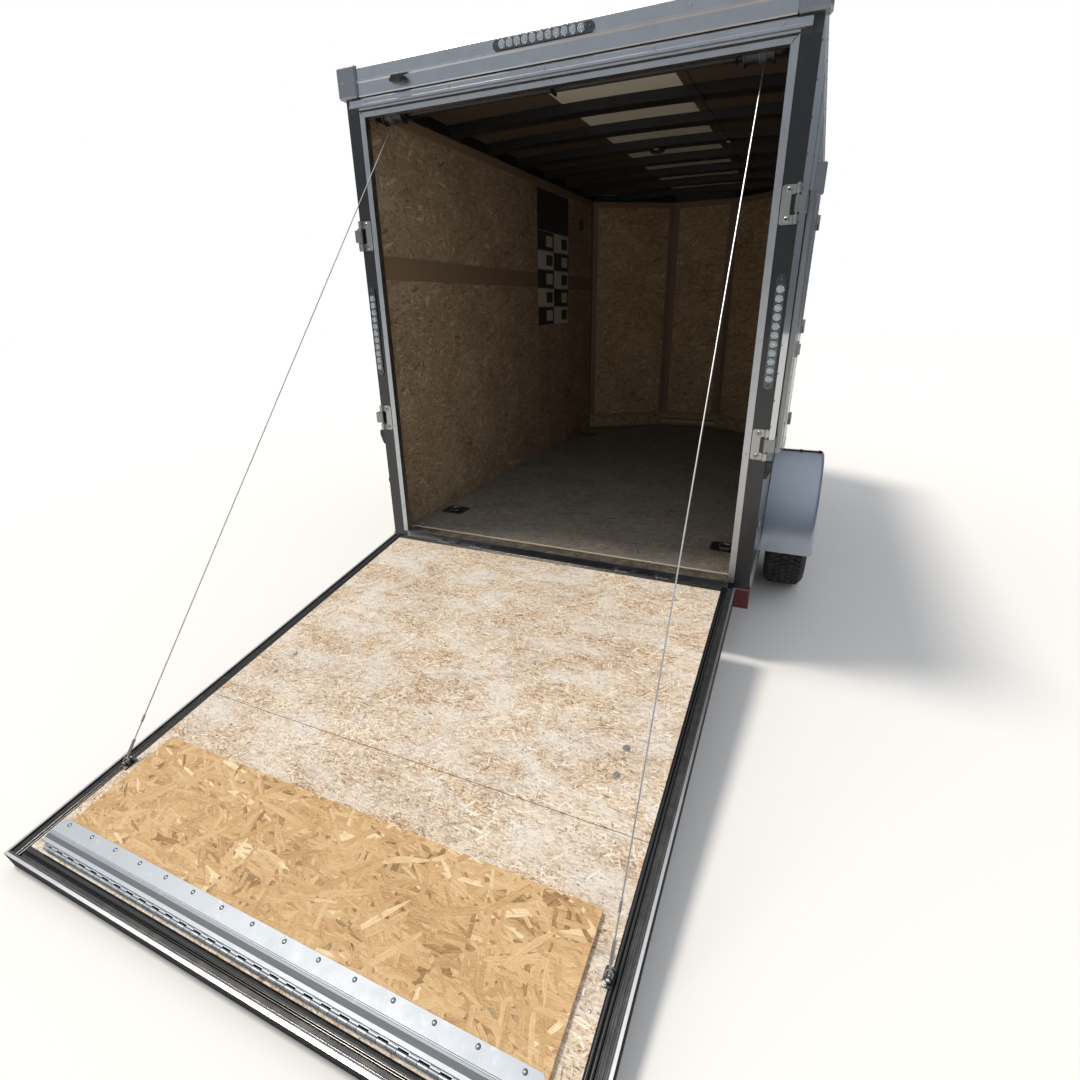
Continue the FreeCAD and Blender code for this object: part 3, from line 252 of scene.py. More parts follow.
def strand_group():
    """Node group: a place on the board's face in metres to tone, edge, fibre and choice."""
    tree = bpy.data.node_groups.new("wood strands", "ShaderNodeTree")
    for name, kind in (("Place", "Vector"), ("Length mm", "Float"), ("Width mm", "Float")):
        tree.interface.new_socket(name, in_out="INPUT", socket_type="NodeSocket" + kind)
    for name in ("Tone", "Edge", "Fibre", "Choice"):
        tree.interface.new_socket(name, in_out="OUTPUT", socket_type="NodeSocketFloat")
    given = add(tree, "NodeGroupInput").outputs
    place = given["Place"]
    for often, depth in ((11.0, 0.006), (90.0, 0.0022), (420.0, 0.0009)):
        wobble = add(tree, "TexNoise", {"Vector": given["Place"], "Scale": often, "Detail": 1.0})
        place = vectors(tree, "ADD", place, scaled(tree, wobble.outputs["Color"], depth))
    along = maths(tree, "DIVIDE", 1000.0, given["Length mm"])
    across = maths(tree, "DIVIDE", 1000.0, given["Width mm"])
    scale = add(tree, "CombineXYZ", {"X": along, "Y": across, "Z": 1.0}).outputs[0]
    best, tone, edge, spot = 0.0, 0.5, 0.3, place
    for index, (angle, size) in enumerate(strand_layers):
        turn = {"Vector": place, "Angle": math.radians(angle)}
        rotated = add(tree, "VectorRotate", turn, rotation_type="Z_AXIS").outputs[0]
        moved = vectors(tree, "ADD", rotated, (0.37 * index, 0.91 * index, 0))
        local = scaled(tree, vectors(tree, "MULTIPLY", moved, scale), 1 / size)
        cells = {"Vector": local, "Scale": 1.0, "Randomness": 0.85}
        cell = add(tree, "TexVoronoi", cells, voronoi_dimensions="2D").outputs
        reach = vectors(tree, "ABSOLUTE", vectors(tree, "SUBTRACT", local, cell["Position"]))
        room = add(tree, "SeparateXYZ", {"Vector": vectors(tree, "SUBTRACT", strand_half, reach)}).outputs
        inside = maths(tree, "MINIMUM", maths(tree, "MULTIPLY", room["X"], 4.0), room["Y"])
        chance = add(tree, "SeparateColor", {"Color": cell["Color"]}).outputs
        shown = maths(tree, "MULTIPLY", chance["Red"], maths(tree, "GREATER_THAN", inside, 0.0))
        wins = maths(tree, "GREATER_THAN", shown, best)
        best = maths(tree, "MAXIMUM", shown, best)
        tone = add(tree, "Mix", {"Factor": wins, 2: tone, 3: chance["Green"]}).outputs[0]
        edge = add(tree, "Mix", {"Factor": wins, 2: edge, 3: inside}).outputs[0]
        spot = add(tree, "Mix", {"Factor": wins, 4: spot, 5: moved}, data_type="VECTOR").outputs[1]
    along_fibre = vectors(tree, "MULTIPLY", spot, (24, 380, 1))
    fibre = add(tree, "TexNoise", {"Vector": along_fibre, "Scale": 1.0, "Detail": 4.0, "Roughness": 0.68})
    result = {"Tone": tone, "Edge": edge, "Fibre": fibre.outputs["Fac"], "Choice": best}
    add(tree, "NodeGroupOutput", result)
    return tree


strands = strand_group()
print("strand layers", len(strand_layers))

# %% [markdown]
# Each board gets its own colours: pale and sun-bleached on the ramp, golden on the sheltered flap,
# dusty on the floor and tan on the walls. Strands differ little in tone. What shows is their fibre, a few
# very light or dark ones, thin dark slits between them, which are painted shade in the cracks, and broad
# stains.

# %% Boards
even_stops = (0.0, 0.3, 0.52, 0.75, 1.0)
high_stops = (0.0, 0.25, 0.5, 0.72, 1.0)


def board(name, face, colours, strand_mm, places=even_stops, tones=0.3, fibres=0.9, slit_shade=0.6, curls=0.3,
          film=None, relief=0.5):
    """OSB: face names the sheet's two directions, colours run from dark to light strands."""
    material, tree, shader, place = start(name)
    stops = list(zip(places, colours.split()))
    flat = add(tree, "SeparateXYZ", {"Vector": place}).outputs
    sheet = add(tree, "CombineXYZ", {"X": flat[face[0]], "Y": flat[face[1]]}).outputs[0]
    given = {"Place": sheet, "Length mm": strand_mm[0], "Width mm": strand_mm[1]}
    pattern = add(tree, "Group", given, node_tree=strands).outputs
    tone = pattern["Tone"]
    blotch = noise(tree, sheet, 300, 3.0)
    fine = noise(tree, sheet, 2.5, 3.0, 0.7)
    curl = noise(tree, sheet, 4.5, 2.0, 0.62, (3.4, 1, 1), 0.8)
    swings = ((tone, tones), (pattern["Fibre"], fibres), (blotch, 0.5), (fine, 0.5), (curl, curls))
    terms = []
    for part, amount in swings:
        terms.append(maths(tree, "MULTIPLY", maths(tree, "SUBTRACT", part, 0.5), amount))
    terms += [ranged(tree, tone, 0.93, 0.98, 0.0, 0.2), ranged(tree, tone, 0.06, 0.02, 0.0, -0.16), 0.5]
    value = terms[0]
    for term in terms[1:]:
        value = maths(tree, "ADD", value, term)
    colour = ramp_colours(tree, value, stops)
    if film:
        tint, most, size_mm = film
        patches = noise(tree, sheet, size_mm, 6.0, 0.66, (2.2, 1, 1), 0.5)
        amount = ranged(tree, patches, 0.42, 0.66, 0.0, most)
        cover = maths(tree, "MULTIPLY", amount, maths(tree, "ADD", curl, 0.45))
        colour = mixed(tree, cover, colour, linear(tint))
    # The darkest colour along strand edges and in the gaps between strands is painted shade in the cracks.
    near = ranged(tree, pattern["Edge"], 0.0, 0.07, 1.0, 0.0)
    some = ranged(tree, noise(tree, sheet, 22, 3.0, 0.7), 0.48, 0.62, 0.0, slit_shade)
    gap = ranged(tree, pattern["Choice"], 0.5, 0.35, 0.0, slit_shade)
    dark = maths(tree, "MAXIMUM", maths(tree, "MULTIPLY", near, some), gap)
    colour = mixed(tree, dark, colour, linear(stops[0][1]))
    feed(tree, shader, {"Base Color": colour, "Roughness": 0.75, "IOR": 1.45})
    bump(tree, shader, noise(tree, sheet, 3.5, 2.0, 0.6, (4, 1, 1)), relief)
    return material


wall_board = board("OSB wall lining", "YZ", "#4c3a26 #826b50 #99846a #ad9b80 #c9b99c", (70, 15))
nose_board = board("OSB nose lining", "XZ", "#553d26 #8f7452 #a88d6a #bba382 #d2c1a4", (70, 15))
floor_board = board(
    "OSB floor", "XY", "#3b342a #6a635b #837b6e #948c7c #b0a893", (60, 11),
    tones=0.35, slit_shade=0.5, curls=0.5, film=("#84817c", 0.7, 160),
)
deck_board = board(
    "OSB ramp deck, sun-bleached", "XY", "#6f5846 #a98e73 #cab59a #ddceb7 #efe7da", (44, 7), high_stops,
    tones=0.5, fibres=0.85, slit_shade=0.7, curls=1.3, film=("#dedbd4", 0.75, 110), relief=0.7,
)
flap_board = board(
    "OSB flap, sheltered", "XY", "#614629 #ac875a #c8a577 #d9bd92 #eedcbb", (120, 20),
    tones=0.27, curls=0.35, relief=0.8,
)
print("boards ready")

# %% [markdown]
# ## Metals and paints
# Rolled and extruded aluminium has fine lines along its length, zinc plate is greyer with soft
# crystals, and the posts are steel under a glossy charcoal paint with light dust.


# %% Metals
def clouded(tree, place, colour, cloud, spread, marks, mark_noise, span):
    """A colour made a little lighter and darker by a cloud, with optional marks of another one."""
    tint = scaled(tree, linear(colour)[:3], ranged(tree, cloud, 0.0, 1.0, 1 - spread, 1 + spread))
    if marks:
        amount = ranged(tree, noise(tree, place, *mark_noise), *span, 0.0, marks[1])
        tint = mixed(tree, amount, tint, linear(marks[0]))
    return tint


def metal(name, colour, rough, line_mm=None, stretch=(1, 1, 60), spots=None, mottle=0.12, relief=0.02):
    """Bare or plated metal with drawn lines or soft blotches."""
    material, tree, shader, place = start(name)
    cloud = rub = noise(tree, place, 60, 4.0, 0.6)
    tint = clouded(tree, place, colour, cloud, mottle, spots, (25, 6.0, 0.7), (0.6, 0.72))
    if line_mm:
        lines = noise(tree, place, line_mm, 2.0, 0.5, stretch)
        rub = maths(tree, "ADD", maths(tree, "MULTIPLY", lines, 0.7), maths(tree, "MULTIPLY", cloud, 0.3))
        bump(tree, shader, lines, relief)
    varied = ranged(tree, rub, 0.0, 1.0, rough - 0.08, rough + 0.1)
    feed(tree, shader, {"Base Color": tint, "Metallic": 1.0, "Roughness": varied})
    return material


along_x, along_y, along_z = (60, 1, 1), (1, 60, 1), (1, 1, 60)
bright_x = metal("extruded aluminium, lines across", "#b4b7bb", 0.30, 1.6, along_x)
bright_y = metal("extruded aluminium, lines along", "#b4b7bb", 0.30, 1.6, along_y)
bright_z = metal("extruded aluminium, lines upright", "#b6b8ba", 0.32, 1.6, along_z)
# Its bluish tint is a painted reflection of a blue sky.
fender_sheet_sky_tint = metal("rolled aluminium sheet, tinted as a painted sky reflection", "#969da8", 0.34, mottle=0.03)
galvanised = metal("galvanised steel", "#a3a8ac", 0.36, mottle=0.16)
zinc = metal("zinc-plated steel", "#a9a9a4", 0.32, spots=("#8a8478", 0.35), mottle=0.14)
strip_sheet = metal("galvanised flap strip", "#8f959c", 0.5, mottle=0.16, spots=("#aeb5bd", 0.5))
# Darker grey on the strip's sloping fold is painted shade; on the cable windings the same finish is dull
# steel.
fold_shade_and_dull_steel = metal("dull steel with painted shade on the strip's fold", "#6b6d71", 0.62, 3.0, along_x, mottle=0.05)
cap_sheet = metal("brushed corner cap", "#8b8f94", 0.5, 2.0, along_z, mottle=0.04)
roof_sheet = metal("galvanised roof sheet", "#aeb1b2", 0.45, mottle=0.1)
wire_rope = metal("steel wire rope", "#c2c2c2", 0.35, mottle=0.2)
bright_steel = metal("plated steel bar", "#8d8f90", 0.34, 3.0, along_z, spots=("#7d7468", 0.25))
screw_dark = metal("blued steel screws", "#6e7074", 0.35, mottle=0.2)
lamp_rim = metal("dull plated lamp rim", "#5d6165", 0.22, mottle=0.03)
deep_cup = metal("deep vacuum-plated cup", "#989da2", 0.12, mottle=0.03)
print("metals ready")


# %% Paints, plastics and rubber
def coated(name, colour, rough, metallic=0.0, coat=0.0, speck=0.05, grain_mm=None, relief=0.05, dust=None,
           ior=1.5):
    """Paint, plastic or rubber: a tone that varies a little, with an optional skin texture and dust."""
    material, tree, shader, place = start(name)
    cloud = noise(tree, place, 90, 5.0, 0.65)
    tint = clouded(tree, place, colour, cloud, speck, dust, (35, 7.0, 0.7), (0.42, 0.7))
    varied = ranged(tree, cloud, 0.0, 1.0, rough - 0.06, rough + 0.08)
    gloss = {"Metallic": metallic, "IOR": ior, "Coat Weight": coat, "Coat Roughness": 0.08}
    feed(tree, shader, {"Base Color": tint, "Roughness": varied, **gloss})
    if grain_mm:
        bump(tree, shader, noise(tree, place, grain_mm, 4.0, 0.6), relief)
    return material


chassis_paint = coated("black chassis paint", "#1c1c1e", 0.42, coat=0.2, grain_mm=3.0,
                       dust=("#6a655c", 0.25))
post_paint = coated("charcoal gloss paint on steel", "#15171a", 0.3, coat=0.35, speck=0.08,
                    dust=("#4a4845", 0.08))
skin_paint = coated("black pre-painted sheet", "#1d1f22", 0.3, coat=0.3, grain_mm=60.0, relief=0.15)
bow_paint = coated("black bow paint", "#0c0b0b", 0.5, grain_mm=2.5, dust=("#2c2824", 0.25))
# The brown on the roof sheet's underside is a painted reflection, not the sheet's own colour.
roof_underside_painted_reflection = coated("roof sheet's underside, brown as a painted reflection", "#4d4133", 0.7, speck=0.2, grain_mm=6.0)
band_paper = coated("smooth brown joint strip", "#7c6650", 0.62, speck=0.10, grain_mm=5.0)
ceiling_pale = coated("pale ceiling sheet", "#c9c5b4", 0.65, speck=0.08, grain_mm=8.0)
black_plastic = coated("black ABS", "#141415", 0.38, grain_mm=1.0, dust=("#57524b", 0.2))
rubber = coated("black EPDM rubber", "#17171a", 0.62, grain_mm=1.2, relief=0.08, dust=("#6b6660", 0.35))
rubber_gloss = coated("moulded EPDM seal, shiny", "#101012", 0.24, coat=0.3, grain_mm=12.0, relief=0.2)
tyre_rubber = coated("tyre rubber", "#1a1a1b", 0.7, grain_mm=1.5, relief=0.08, dust=("#5d574e", 0.35))
wheel_paint = coated("silver wheel paint", "#a9acaf", 0.3, metallic=0.6, coat=0.5, speck=0.06, grain_mm=2.0)
paper = coated("blank paper", "#b9b3a4", 0.8, speck=0.06)
paper_dark = coated("dark blank sheet", "#2e2a27", 0.55, speck=0.08)
# Near-black with little gloss: painted shade on the ramp edge's outer sides and in the flap hinge's gap,
# with light dust.
black_painted_shade = coated("black painted edge", "#0b0b0c", 0.65, ior=1.2, dust=("#3a3732", 0.2))
rust = coated("rusty scrap", "#8c4a22", 0.85, speck=0.3, grain_mm=2.0)
dark_alu = coated("weathered mill channel", "#35373a", 0.45, metallic=0.7, grain_mm=3.0,
                  dust=("#6d675e", 0.4))
cut_edge = coated("cut board edge", "#dcc39a", 0.75, speck=0.15, grain_mm=3.0)
nosing_board = coated("pale worn nosing", "#e6dccb", 0.55, speck=0.25, grain_mm=4.0)
clip_plastic = coated("pale nylon clip", "#a9a595", 0.5)
lamp_base_finish = coated("smoked lamp base", "#55595e", 0.2, metallic=0.5, coat=0.9)
led_chip = coated("pale light chip", "#c9c4ac", 0.35)


def gritty_finish():
    """Road grit and sand pressed on to a worn steel threshold."""
    material, tree, shader, place = start("gritty threshold")
    fine = noise(tree, place, 5, 3.0, 0.7)
    broad = noise(tree, place, 60, 3.0, 0.6)
    spread = maths(tree, "ADD", maths(tree, "MULTIPLY", fine, 0.75), maths(tree, "MULTIPLY", broad, 0.3))
    stops = ((0.36, "#1c1a18"), (0.47, "#3a3530"), (0.56, "#5a5145"), (0.68, "#a39b8d"))
    feed(tree, shader, {"Base Color": ramp_colours(tree, spread, stops), "Roughness": 0.8})
    bump(tree, shader, fine, 1.2)
    return material


gritty = gritty_finish()
print("coatings ready")


# %% [markdown]
# ## Lamp plastics
# Moulded plastic has a pattern of small prisms. The domes over the cups bend light very little, which
# stands for a thin clear shell.

# %% Lamp plastics
def lens(name, colour, rough, cell_mm, transmission=0.0, coat=1.0, ior=1.49, relief=0.6):
    """Moulded lamp plastic with small prisms."""
    material, tree, shader, place = start(name)
    mapped = add(tree, "Mapping", {"Vector": place, "Scale": [1 / (cell_mm * MM)] * 3}).outputs[0]
    prisms = add(tree, "TexVoronoi", {"Vector": mapped, "Scale": 1.0, "Randomness": 0.0})
    gloss = {"IOR": ior, "Coat Weight": coat, "Coat Roughness": 0.03, "Transmission Weight": transmission}
    feed(tree, shader, {"Base Color": linear(colour), "Roughness": rough, **gloss})
    bump(tree, shader, prisms.outputs["Distance"], relief)
    return material


red_lens = lens("red acrylic lens", "#4a0807", 0.34, 5.0, coat=0.2)
clear_cup = lens("clear polycarbonate over a reflector", "#cfd3d6", 0.12, 4.0)
smoke_lens = lens("dark dome lens", "#2a2826", 0.25, 6.0)
clear_dome = lens("clear polycarbonate dome", "#f4f6f7", 0.04, 3.0, 1.0, coat=0.6, ior=1.12, relief=0.02)
print("lamp plastics ready")

# %% [markdown]
# ## Finishes on the CAD pieces
# Pieces whose shape is right keep their CAD mesh and only get a finish.

# %% Finish table
chassis_nodes = "rail_curb rail_road frame_beams tongue_rails coupler axle_tube torsion_arms ramp_frame"
zinc_nodes = "jack_tube jack_leg floor_rings door_hinges_wall door_hinges_leaf door_latch latch_plates"
finishes = (
    (wall_board, "wall_curb wall_road"),
    (nose_board, "nose_walls"),
    (floor_board, "floor"),
    (deck_board, "ramp_deck"),
    (flap_board, "flap_board"),
    (band_paper, "wall_bands"),
    (chassis_paint, chassis_nodes + " hinge_fixed hinge_ramp header_beam cable_brackets"),
    (post_paint, "rear_posts"),
    (skin_paint, "side_door ramp_skin"),
    (bow_paint, "roof_bows spring_shaft"),
    (roof_sheet, "roof_skin"),
    (ceiling_pale, "ceiling_sheet"),
    (bright_x, "gutter fascia"),
    (cap_sheet, "corner_caps"),
    (bright_y, "edge_trim ramp_edge"),
    (bright_z, "opening_trim door_jamb"),
    (fender_sheet_sky_tint, "fenders"),
    (galvanised, "sill_plate flap_strip flap_hinge_moving flap_hinge_fixed"),
    (zinc, zinc_nodes + " latch_bar_curb latch_bar_road"),
    (wire_rope, "ramp_cables"),
    (black_plastic, "cable_drums"),
    (clear_cup, "light_bar tail_lamps"),
    (red_lens, "wrap_lamps"),
    (smoke_lens, "dome_light"),
    (tyre_rubber, "tyre_curb tyre_road"),
    (wheel_paint, "rim_curb rim_road"),
)
for material, names in finishes:
    for name in names.split():
        mesh = nodes[name].data
        mesh.materials.clear()
        mesh.materials.append(material)
unfinished = set(nodes) - set(" ".join(names for _, names in finishes).split())
print("finishes", len(finishes), "unfinished", sorted(unfinished))

# %% [markdown]
# ## Mesh helpers
# Detail pieces are put together from blocks, prisms, turned profiles and tubes, in mm, then bevelled
# where a real edge is and given to one body. A put function turns three numbers into a place.


# %% Forms and pieces
axis_order = {"x": (2, 0, 1), "y": (0, 2, 1), "z": (0, 1, 2)}


def forms(count):
    """Empty meshes for the pieces of one cell."""
    return [bmesh.new() for _ in range(count)]


def solid(b, corners):
    """Six faces between eight places, given as for a in x for b in y for c in z."""
    made = [b.verts.new(corner) for corner in corners]
    for quad in ((0, 1, 3, 2), (4, 6, 7, 5), (0, 4, 5, 1), (2, 3, 7, 6), (0, 2, 6, 4), (1, 5, 7, 3)):
        b.faces.new([made[n] for n in quad])


def block(b, put, x, y, z):
    """A box between pairs of values."""
    solid(b, [put(i, j, k) for i in x for j in y for k in z])


def skinned(b, rings, caps=True, closed=False):
    """Faces between rings of vertices, each joined to the next, with the ends filled."""
    for a, c in zip(rings, rings[1:] + (rings[:1] if closed else [])):
        for i in range(len(a)):
            b.faces.new((a[i - 1], a[i], c[i], c[i - 1]))
    if caps:
        b.faces.new(rings[0])
        b.faces.new(rings[-1])


def ring(b, put, points, height, axis="z", centre=(0, 0, 0)):
    """Vertices at (p, q) points, at one height along an axis through centre."""
    order = axis_order[axis]
    return [b.verts.new(put(*[c + (p, q, height)[i] for c, i in zip(centre, order)])) for p, q in points]


def prism(b, put, outline, low, high, axis="z"):
    """An outline of (p, q) points run from low to high along an axis."""
    skinned(b, [ring(b, put, outline, height, axis) for height in (low, high)])


def turned(b, put, profile, centre, axis="z", steps=20, closed=False):
    """A profile of (radius, height) turned about an axis through centre."""
    turns = spaced(0, 2 * math.pi, steps)[:-1]
    rings = []
    for radius, height in profile:
        circle = [(radius * math.cos(t), radius * math.sin(t)) for t in turns]
        rings.append(ring(b, put, circle, height, axis, centre))
    skinned(b, rings, not closed, closed)


def tube(b, path, radius, sides=8):
    """A round bar through points in metres."""
    path = [Vector(p) for p in path]
    turns = spaced(0, 2 * math.pi, sides)[:-1]
    rings = []
    across = (path[1] - path[0]).orthogonal().normalized()
    for i, point in enumerate(path):
        ahead = (path[min(i + 1, len(path) - 1)] - path[max(i - 1, 0)]).normalized()
        across = (across - ahead * across.dot(ahead)).normalized()
        other = ahead.cross(across)
        places = [point + (across * math.cos(t) + other * math.sin(t)) * radius * MM for t in turns]
        rings.append([b.verts.new(place) for place in places])
    skinned(b, rings)


def arc(centre, radius, start_deg, end_deg, steps):
    """Points on part of a circle."""
    turns = [math.radians(turn) for turn in spaced(start_deg, end_deg, steps)]
    return [(centre[0] + radius * math.cos(t), centre[1] + radius * math.sin(t)) for t in turns]


def rounded_box(low, high, radius, steps=3):
    """Outline of an oblong with round corners."""
    x0, x1, y0, y1 = low[0] + radius, high[0] - radius, low[1] + radius, high[1] - radius
    points = []
    for centre, turn in (((x1, y1), 0), ((x0, y1), 90), ((x0, y0), 180), ((x1, y0), 270)):
        points += arc(centre, radius, turn, turn + 90, steps)
    return points


def screw(b, put, centre, axis, out, radius=4.5, steps=12):
    """Pan head screw or rivet that stands out from a face along the axis by out times its height."""
    heights = ((1.02, 0), (1, 0.35), (0.86, 1.6), (0.5, 2.3), (0.15, 2.5))
    turned(b, put, [(radius * r, h * out) for r, h in heights], centre, axis, steps)


def bolt(b, put, centre, axis, out, washer=11.0, head=7.5, height=5.5):
    """Washer and hexagon head."""
    turned(b, put, [(washer, 0), (washer, 1.6 * out), (head, 1.7 * out)], centre, axis, 20)
    heights = ((head * 1.02, 1.6), (head * 1.02, height), (head * 0.88, height + 0.9))
    turned(b, put, [(r, h * out) for r, h in heights], centre, axis, 6)


def piece(name, b, material, body="body", stands_for=None, bevel_mm=0.0, angle=32):
    """Object from a mesh: edges sharper than the angle stay hard or are bevelled."""
    bmesh.ops.recalc_face_normals(b, faces=b.faces)
    for face in b.faces:
        face.smooth = True
    for edge in b.edges:
        edge.smooth = len(edge.link_faces) == 2 and edge.calc_face_angle(0) < math.radians(angle)
    mesh = bpy.data.meshes.new(name)
    b.to_mesh(mesh)
    b.free()
    mesh.materials.append(material)
    made = show(name, mesh)
    if bevel_mm:
        soften = made.modifiers.new("edges", "BEVEL")
        soften.width = bevel_mm * MM
        soften.segments = 2
        soften.limit_method = "ANGLE"
        soften.angle_limit = math.radians(angle)
        soften.harden_normals = True
    if body:
        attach(made, body)
    if stands_for:
        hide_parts(stands_for)
    return made


print("forms ready")

# %% [markdown]
# ## Outer skins, seams and screws
# The walls are one sandwich in the CAD: board inside, black pre-painted sheet outside. Faces that look
# outward get the sheet's finish, and each panel joint gets its rows of rivets.


# %% Wall skins and rivets
def two_sided(node, outer, test):
    """Give the faces that pass a test their own finish."""
    mesh = nodes[node].data
    mesh.materials.append(outer)
    turn = nodes[node].matrix_world
    for face in mesh.polygons:
        if test(turn @ face.center, (turn.to_3x3() @ face.normal).normalized()):
            face.material_index = len(mesh.materials) - 1


def faces_out(centre, normal):
    """True on the outside of a side wall."""
    return normal.x * centre.x > 0.3 and abs(centre.x) > (body_mm - 4) * MM


two_sided("wall_curb", skin_paint, faces_out)
two_sided("wall_road", skin_paint, faces_out)
two_sided("nose_walls", skin_paint, lambda centre, normal: normal.y > 0.3)
two_sided("side_door", wall_board, lambda centre, normal: normal.x < -0.5)
two_sided("wall_bands", wall_board, lambda centre, normal: centre.z < sill_z + 0.3)
# The roof sheet's underside gets a brown finish as a painted reflection.
two_sided("roof_skin", roof_underside_painted_reflection, lambda centre, normal: normal.z < -0.3)
two_sided("floor", cut_edge, lambda centre, normal: normal.y < -0.5)
# The ramp edge's sides face away from the light and are painted black as shade.
two_sided("ramp_edge", black_painted_shade, lambda centre, normal: normal.z < 0.7)

door_low, door_high = box_mm("side_door")
panels = 5
panel_mm = (straight_mm - header_mm) / panels
rivet_row = 14
rivet_heights = [z for z in (wall_low + 75 + 100 * step for step in range(19)) if z < wall_top - 60]
trim_screws_z = box_mm("edge_trim")[0].z + 106, wall_top - 38


def by_door(side, y):
    """True where the side door takes the wall's place."""
    return side > 0 and door_low.y - 40 < y < door_high.y + 60


rivets, trim_screws, seams = forms(3)
for side in sides:
    for index in range(panels + 1):
        seam = header_mm + panel_mm * index
        for y in (seam - rivet_row, seam + rivet_row):
            if 40 < y < straight_mm - 8 and not by_door(side, y):
                for z in rivet_heights:
                    screw(rivets, at, (side * body_mm, y, z), "x", side, 3.6, 8)
        if 0 < index < panels and not by_door(side, seam):
            seam_x = sorted((side * (body_mm - 0.5), side * (body_mm + 0.8)))
            block(seams, at, seam_x, (seam - 2.2, seam + 2.2), (wall_low + 60, wall_top - 45))
for z, trim_face in zip(trim_screws_z, (body_mm + 2, body_mm + 3)):
    for side in sides:
        for index in range(15):
            screw(trim_screws, at, (side * trim_face, 90 + 210 * index, z), "x", side, 4.2, 8)
print("rivet faces", len(rivets.faces))
piece("wall_rivets", rivets, skin_paint)
piece("edge_trim_screws", trim_screws, screw_dark)
piece("wall_seams", seams, rubber)

# %% [markdown]
# ## Rear frame
# The tall aluminium fascia carries the light bar and one small black lamp. Below it the gutter and the
# opening's angle are held by pan head screws about every 400 mm.

# %% Fascia, gutter and trim screws
fascia_low = box_mm("fascia")[0].z
gutter_low = box_mm("gutter")[0].z
open_top = box_mm("opening_trim")[1].z
beam_low = box_mm("header_beam")[0].z
trim_mm, screw_pitch = 22, 400
screws, facing, mitres, flake, header_lamp = forms(5)
for index in range(5):
    x = screw_pitch * (index - 2)
    screw(screws, at, (x, -19, gutter_low + 19), "y", -1, 5.0)
    screw(screws, at, (x + 30, -3, open_top - 14), "y", -1, 4.0)
    screw(screws, at, (x + 110, -14, fascia_low + 76), "y", -1, 4.5)
for side in sides:
    for index in range(5):
        screw(screws, at, (side * (open_half + 11), -3, 140 + 420 * index), "y", -1, 4.0)
    screw(screws, at, (side * (body_mm - 12), -24, fascia_low + 52), "y", -1, 5.0)
piece("frame_screws", screws, zinc)

facing_half = open_half + trim_mm - 0.2
block(facing, at, (-facing_half, facing_half), (-2.2, -0.2), (open_top + 1.2, gutter_low + 6))
piece("header_facing", facing, bright_x)
corner = open_top - trim_mm
line = ((0, -1.8), (trim_mm, trim_mm - 1.8), (trim_mm, trim_mm), (0, 0))
for side in sides:
    prism(mitres, mirrored(side), [(open_half + x, corner + z) for x, z in line], -3.4, -2.6, "y")
piece("trim_mitres", mitres, rubber)
outline = ((-94, 1), (-90, -9), (-83, -20), (-74, -17), (-68, -8), (-66, 1))
prism(flake, at, [(x, beam_low + z) for x, z in outline], 24, 27, "y")
piece("rust_flake", flake, rust, bevel_mm=0.6)

hood = rounded_box((-652, fascia_low + 22), (-598, fascia_low + 43), 9, 4)
prism(header_lamp, at, hood, -44, -13, "y")
foot = rounded_box((-668, fascia_low + 26), (-640, fascia_low + 40), 6, 3)
prism(header_lamp, at, foot, -30, -13, "y")
turned(header_lamp, at, [(12, 0), (12, 6), (8, 9), (2, 10)], (-606, -30, fascia_low + 22), "z", 16)
piece("header_lamp", header_lamp, black_plastic, bevel_mm=1.5)
print("rear frame ready", round(fascia_low), round(open_top))

# %% [markdown]
# ## Lamps with eleven cups
# Each lamp is a dark oblong base with a rolled rim, eleven bright reflector cups with a small light
# chip in the middle, and a clear dome over every cup.

# %% Light bar and tail lamps
lamp_half, lamp_radius = 392 / 2, 17.0
cup_pitch, cup_shift, cup_count = 30.5, -4.5, 11
base_half = 171
screw_at = lamp_half - 15
cup = [(14.2, 6), (14.6, 8), (13.8, 9.2), (10.5, 7.2), (5.5, 6.6)]
chip = [(2.6, 6.5), (2.6, 8.2), (1.8, 9.0)]
dome = [(13.6, 8.6), (12.6, 10.4), (10.0, 11.7), (6.0, 12.3), (1.0, 12.5)]


def lamp_puts(node, upright, back):
    """Put functions of a node's lamps: p along a lamp, q across it and r out from its back."""
    low, high = box_mm(node)
    z = (low.z + high.z) / 2
    if not upright:
        middle = (low.x + high.x) / 2
        return [lambda p, q, r: at(middle + p, back - r, z + q)]
    x = high.x - lamp_radius
    return [lambda p, q, r, side=side: at(side * x + q, back - r, z + p) for side in sides]


for node, upright, back in (("light_bar", False, -14.0), ("tail_lamps", True, 0.0)):
    rim, base, cups, chips, domes = forms(5)
    for put in lamp_puts(node, upright, back):
        outline = rounded_box((-lamp_half, -lamp_radius), (lamp_half, lamp_radius), lamp_radius - 0.1, 8)
        prism(rim, put, outline, 0, 5)
        inner = rounded_box((-base_half + cup_shift, -15.2), (base_half + cup_shift, 15.2), 15.1, 8)
        prism(base, put, inner, 5, 6.5)
        for p in (-screw_at, screw_at):
            turned(rim, put, [(5.0, 5), (5.0, 6.6), (3.2, 7.8), (1, 8.0)], (p, 0, 0), "z", 14)
        for index in range(cup_count):
            middle = ((index - cup_count // 2) * cup_pitch + cup_shift, 0, 0)
            turned(cups, put, cup, middle, "z", 28)
            turned(chips, put, chip, middle, "z", 10)
            turned(domes, put, dome, middle, "z", 24)
    piece(node + "_rim", rim, lamp_rim, "body", node, 1.4)
    piece(node + "_base", base, lamp_base_finish)
    piece(node + "_cups", cups, deep_cup)
    piece(node + "_chips", chips, led_chip)
    piece(node + "_domes", domes, clear_dome)
print("lamps ready")

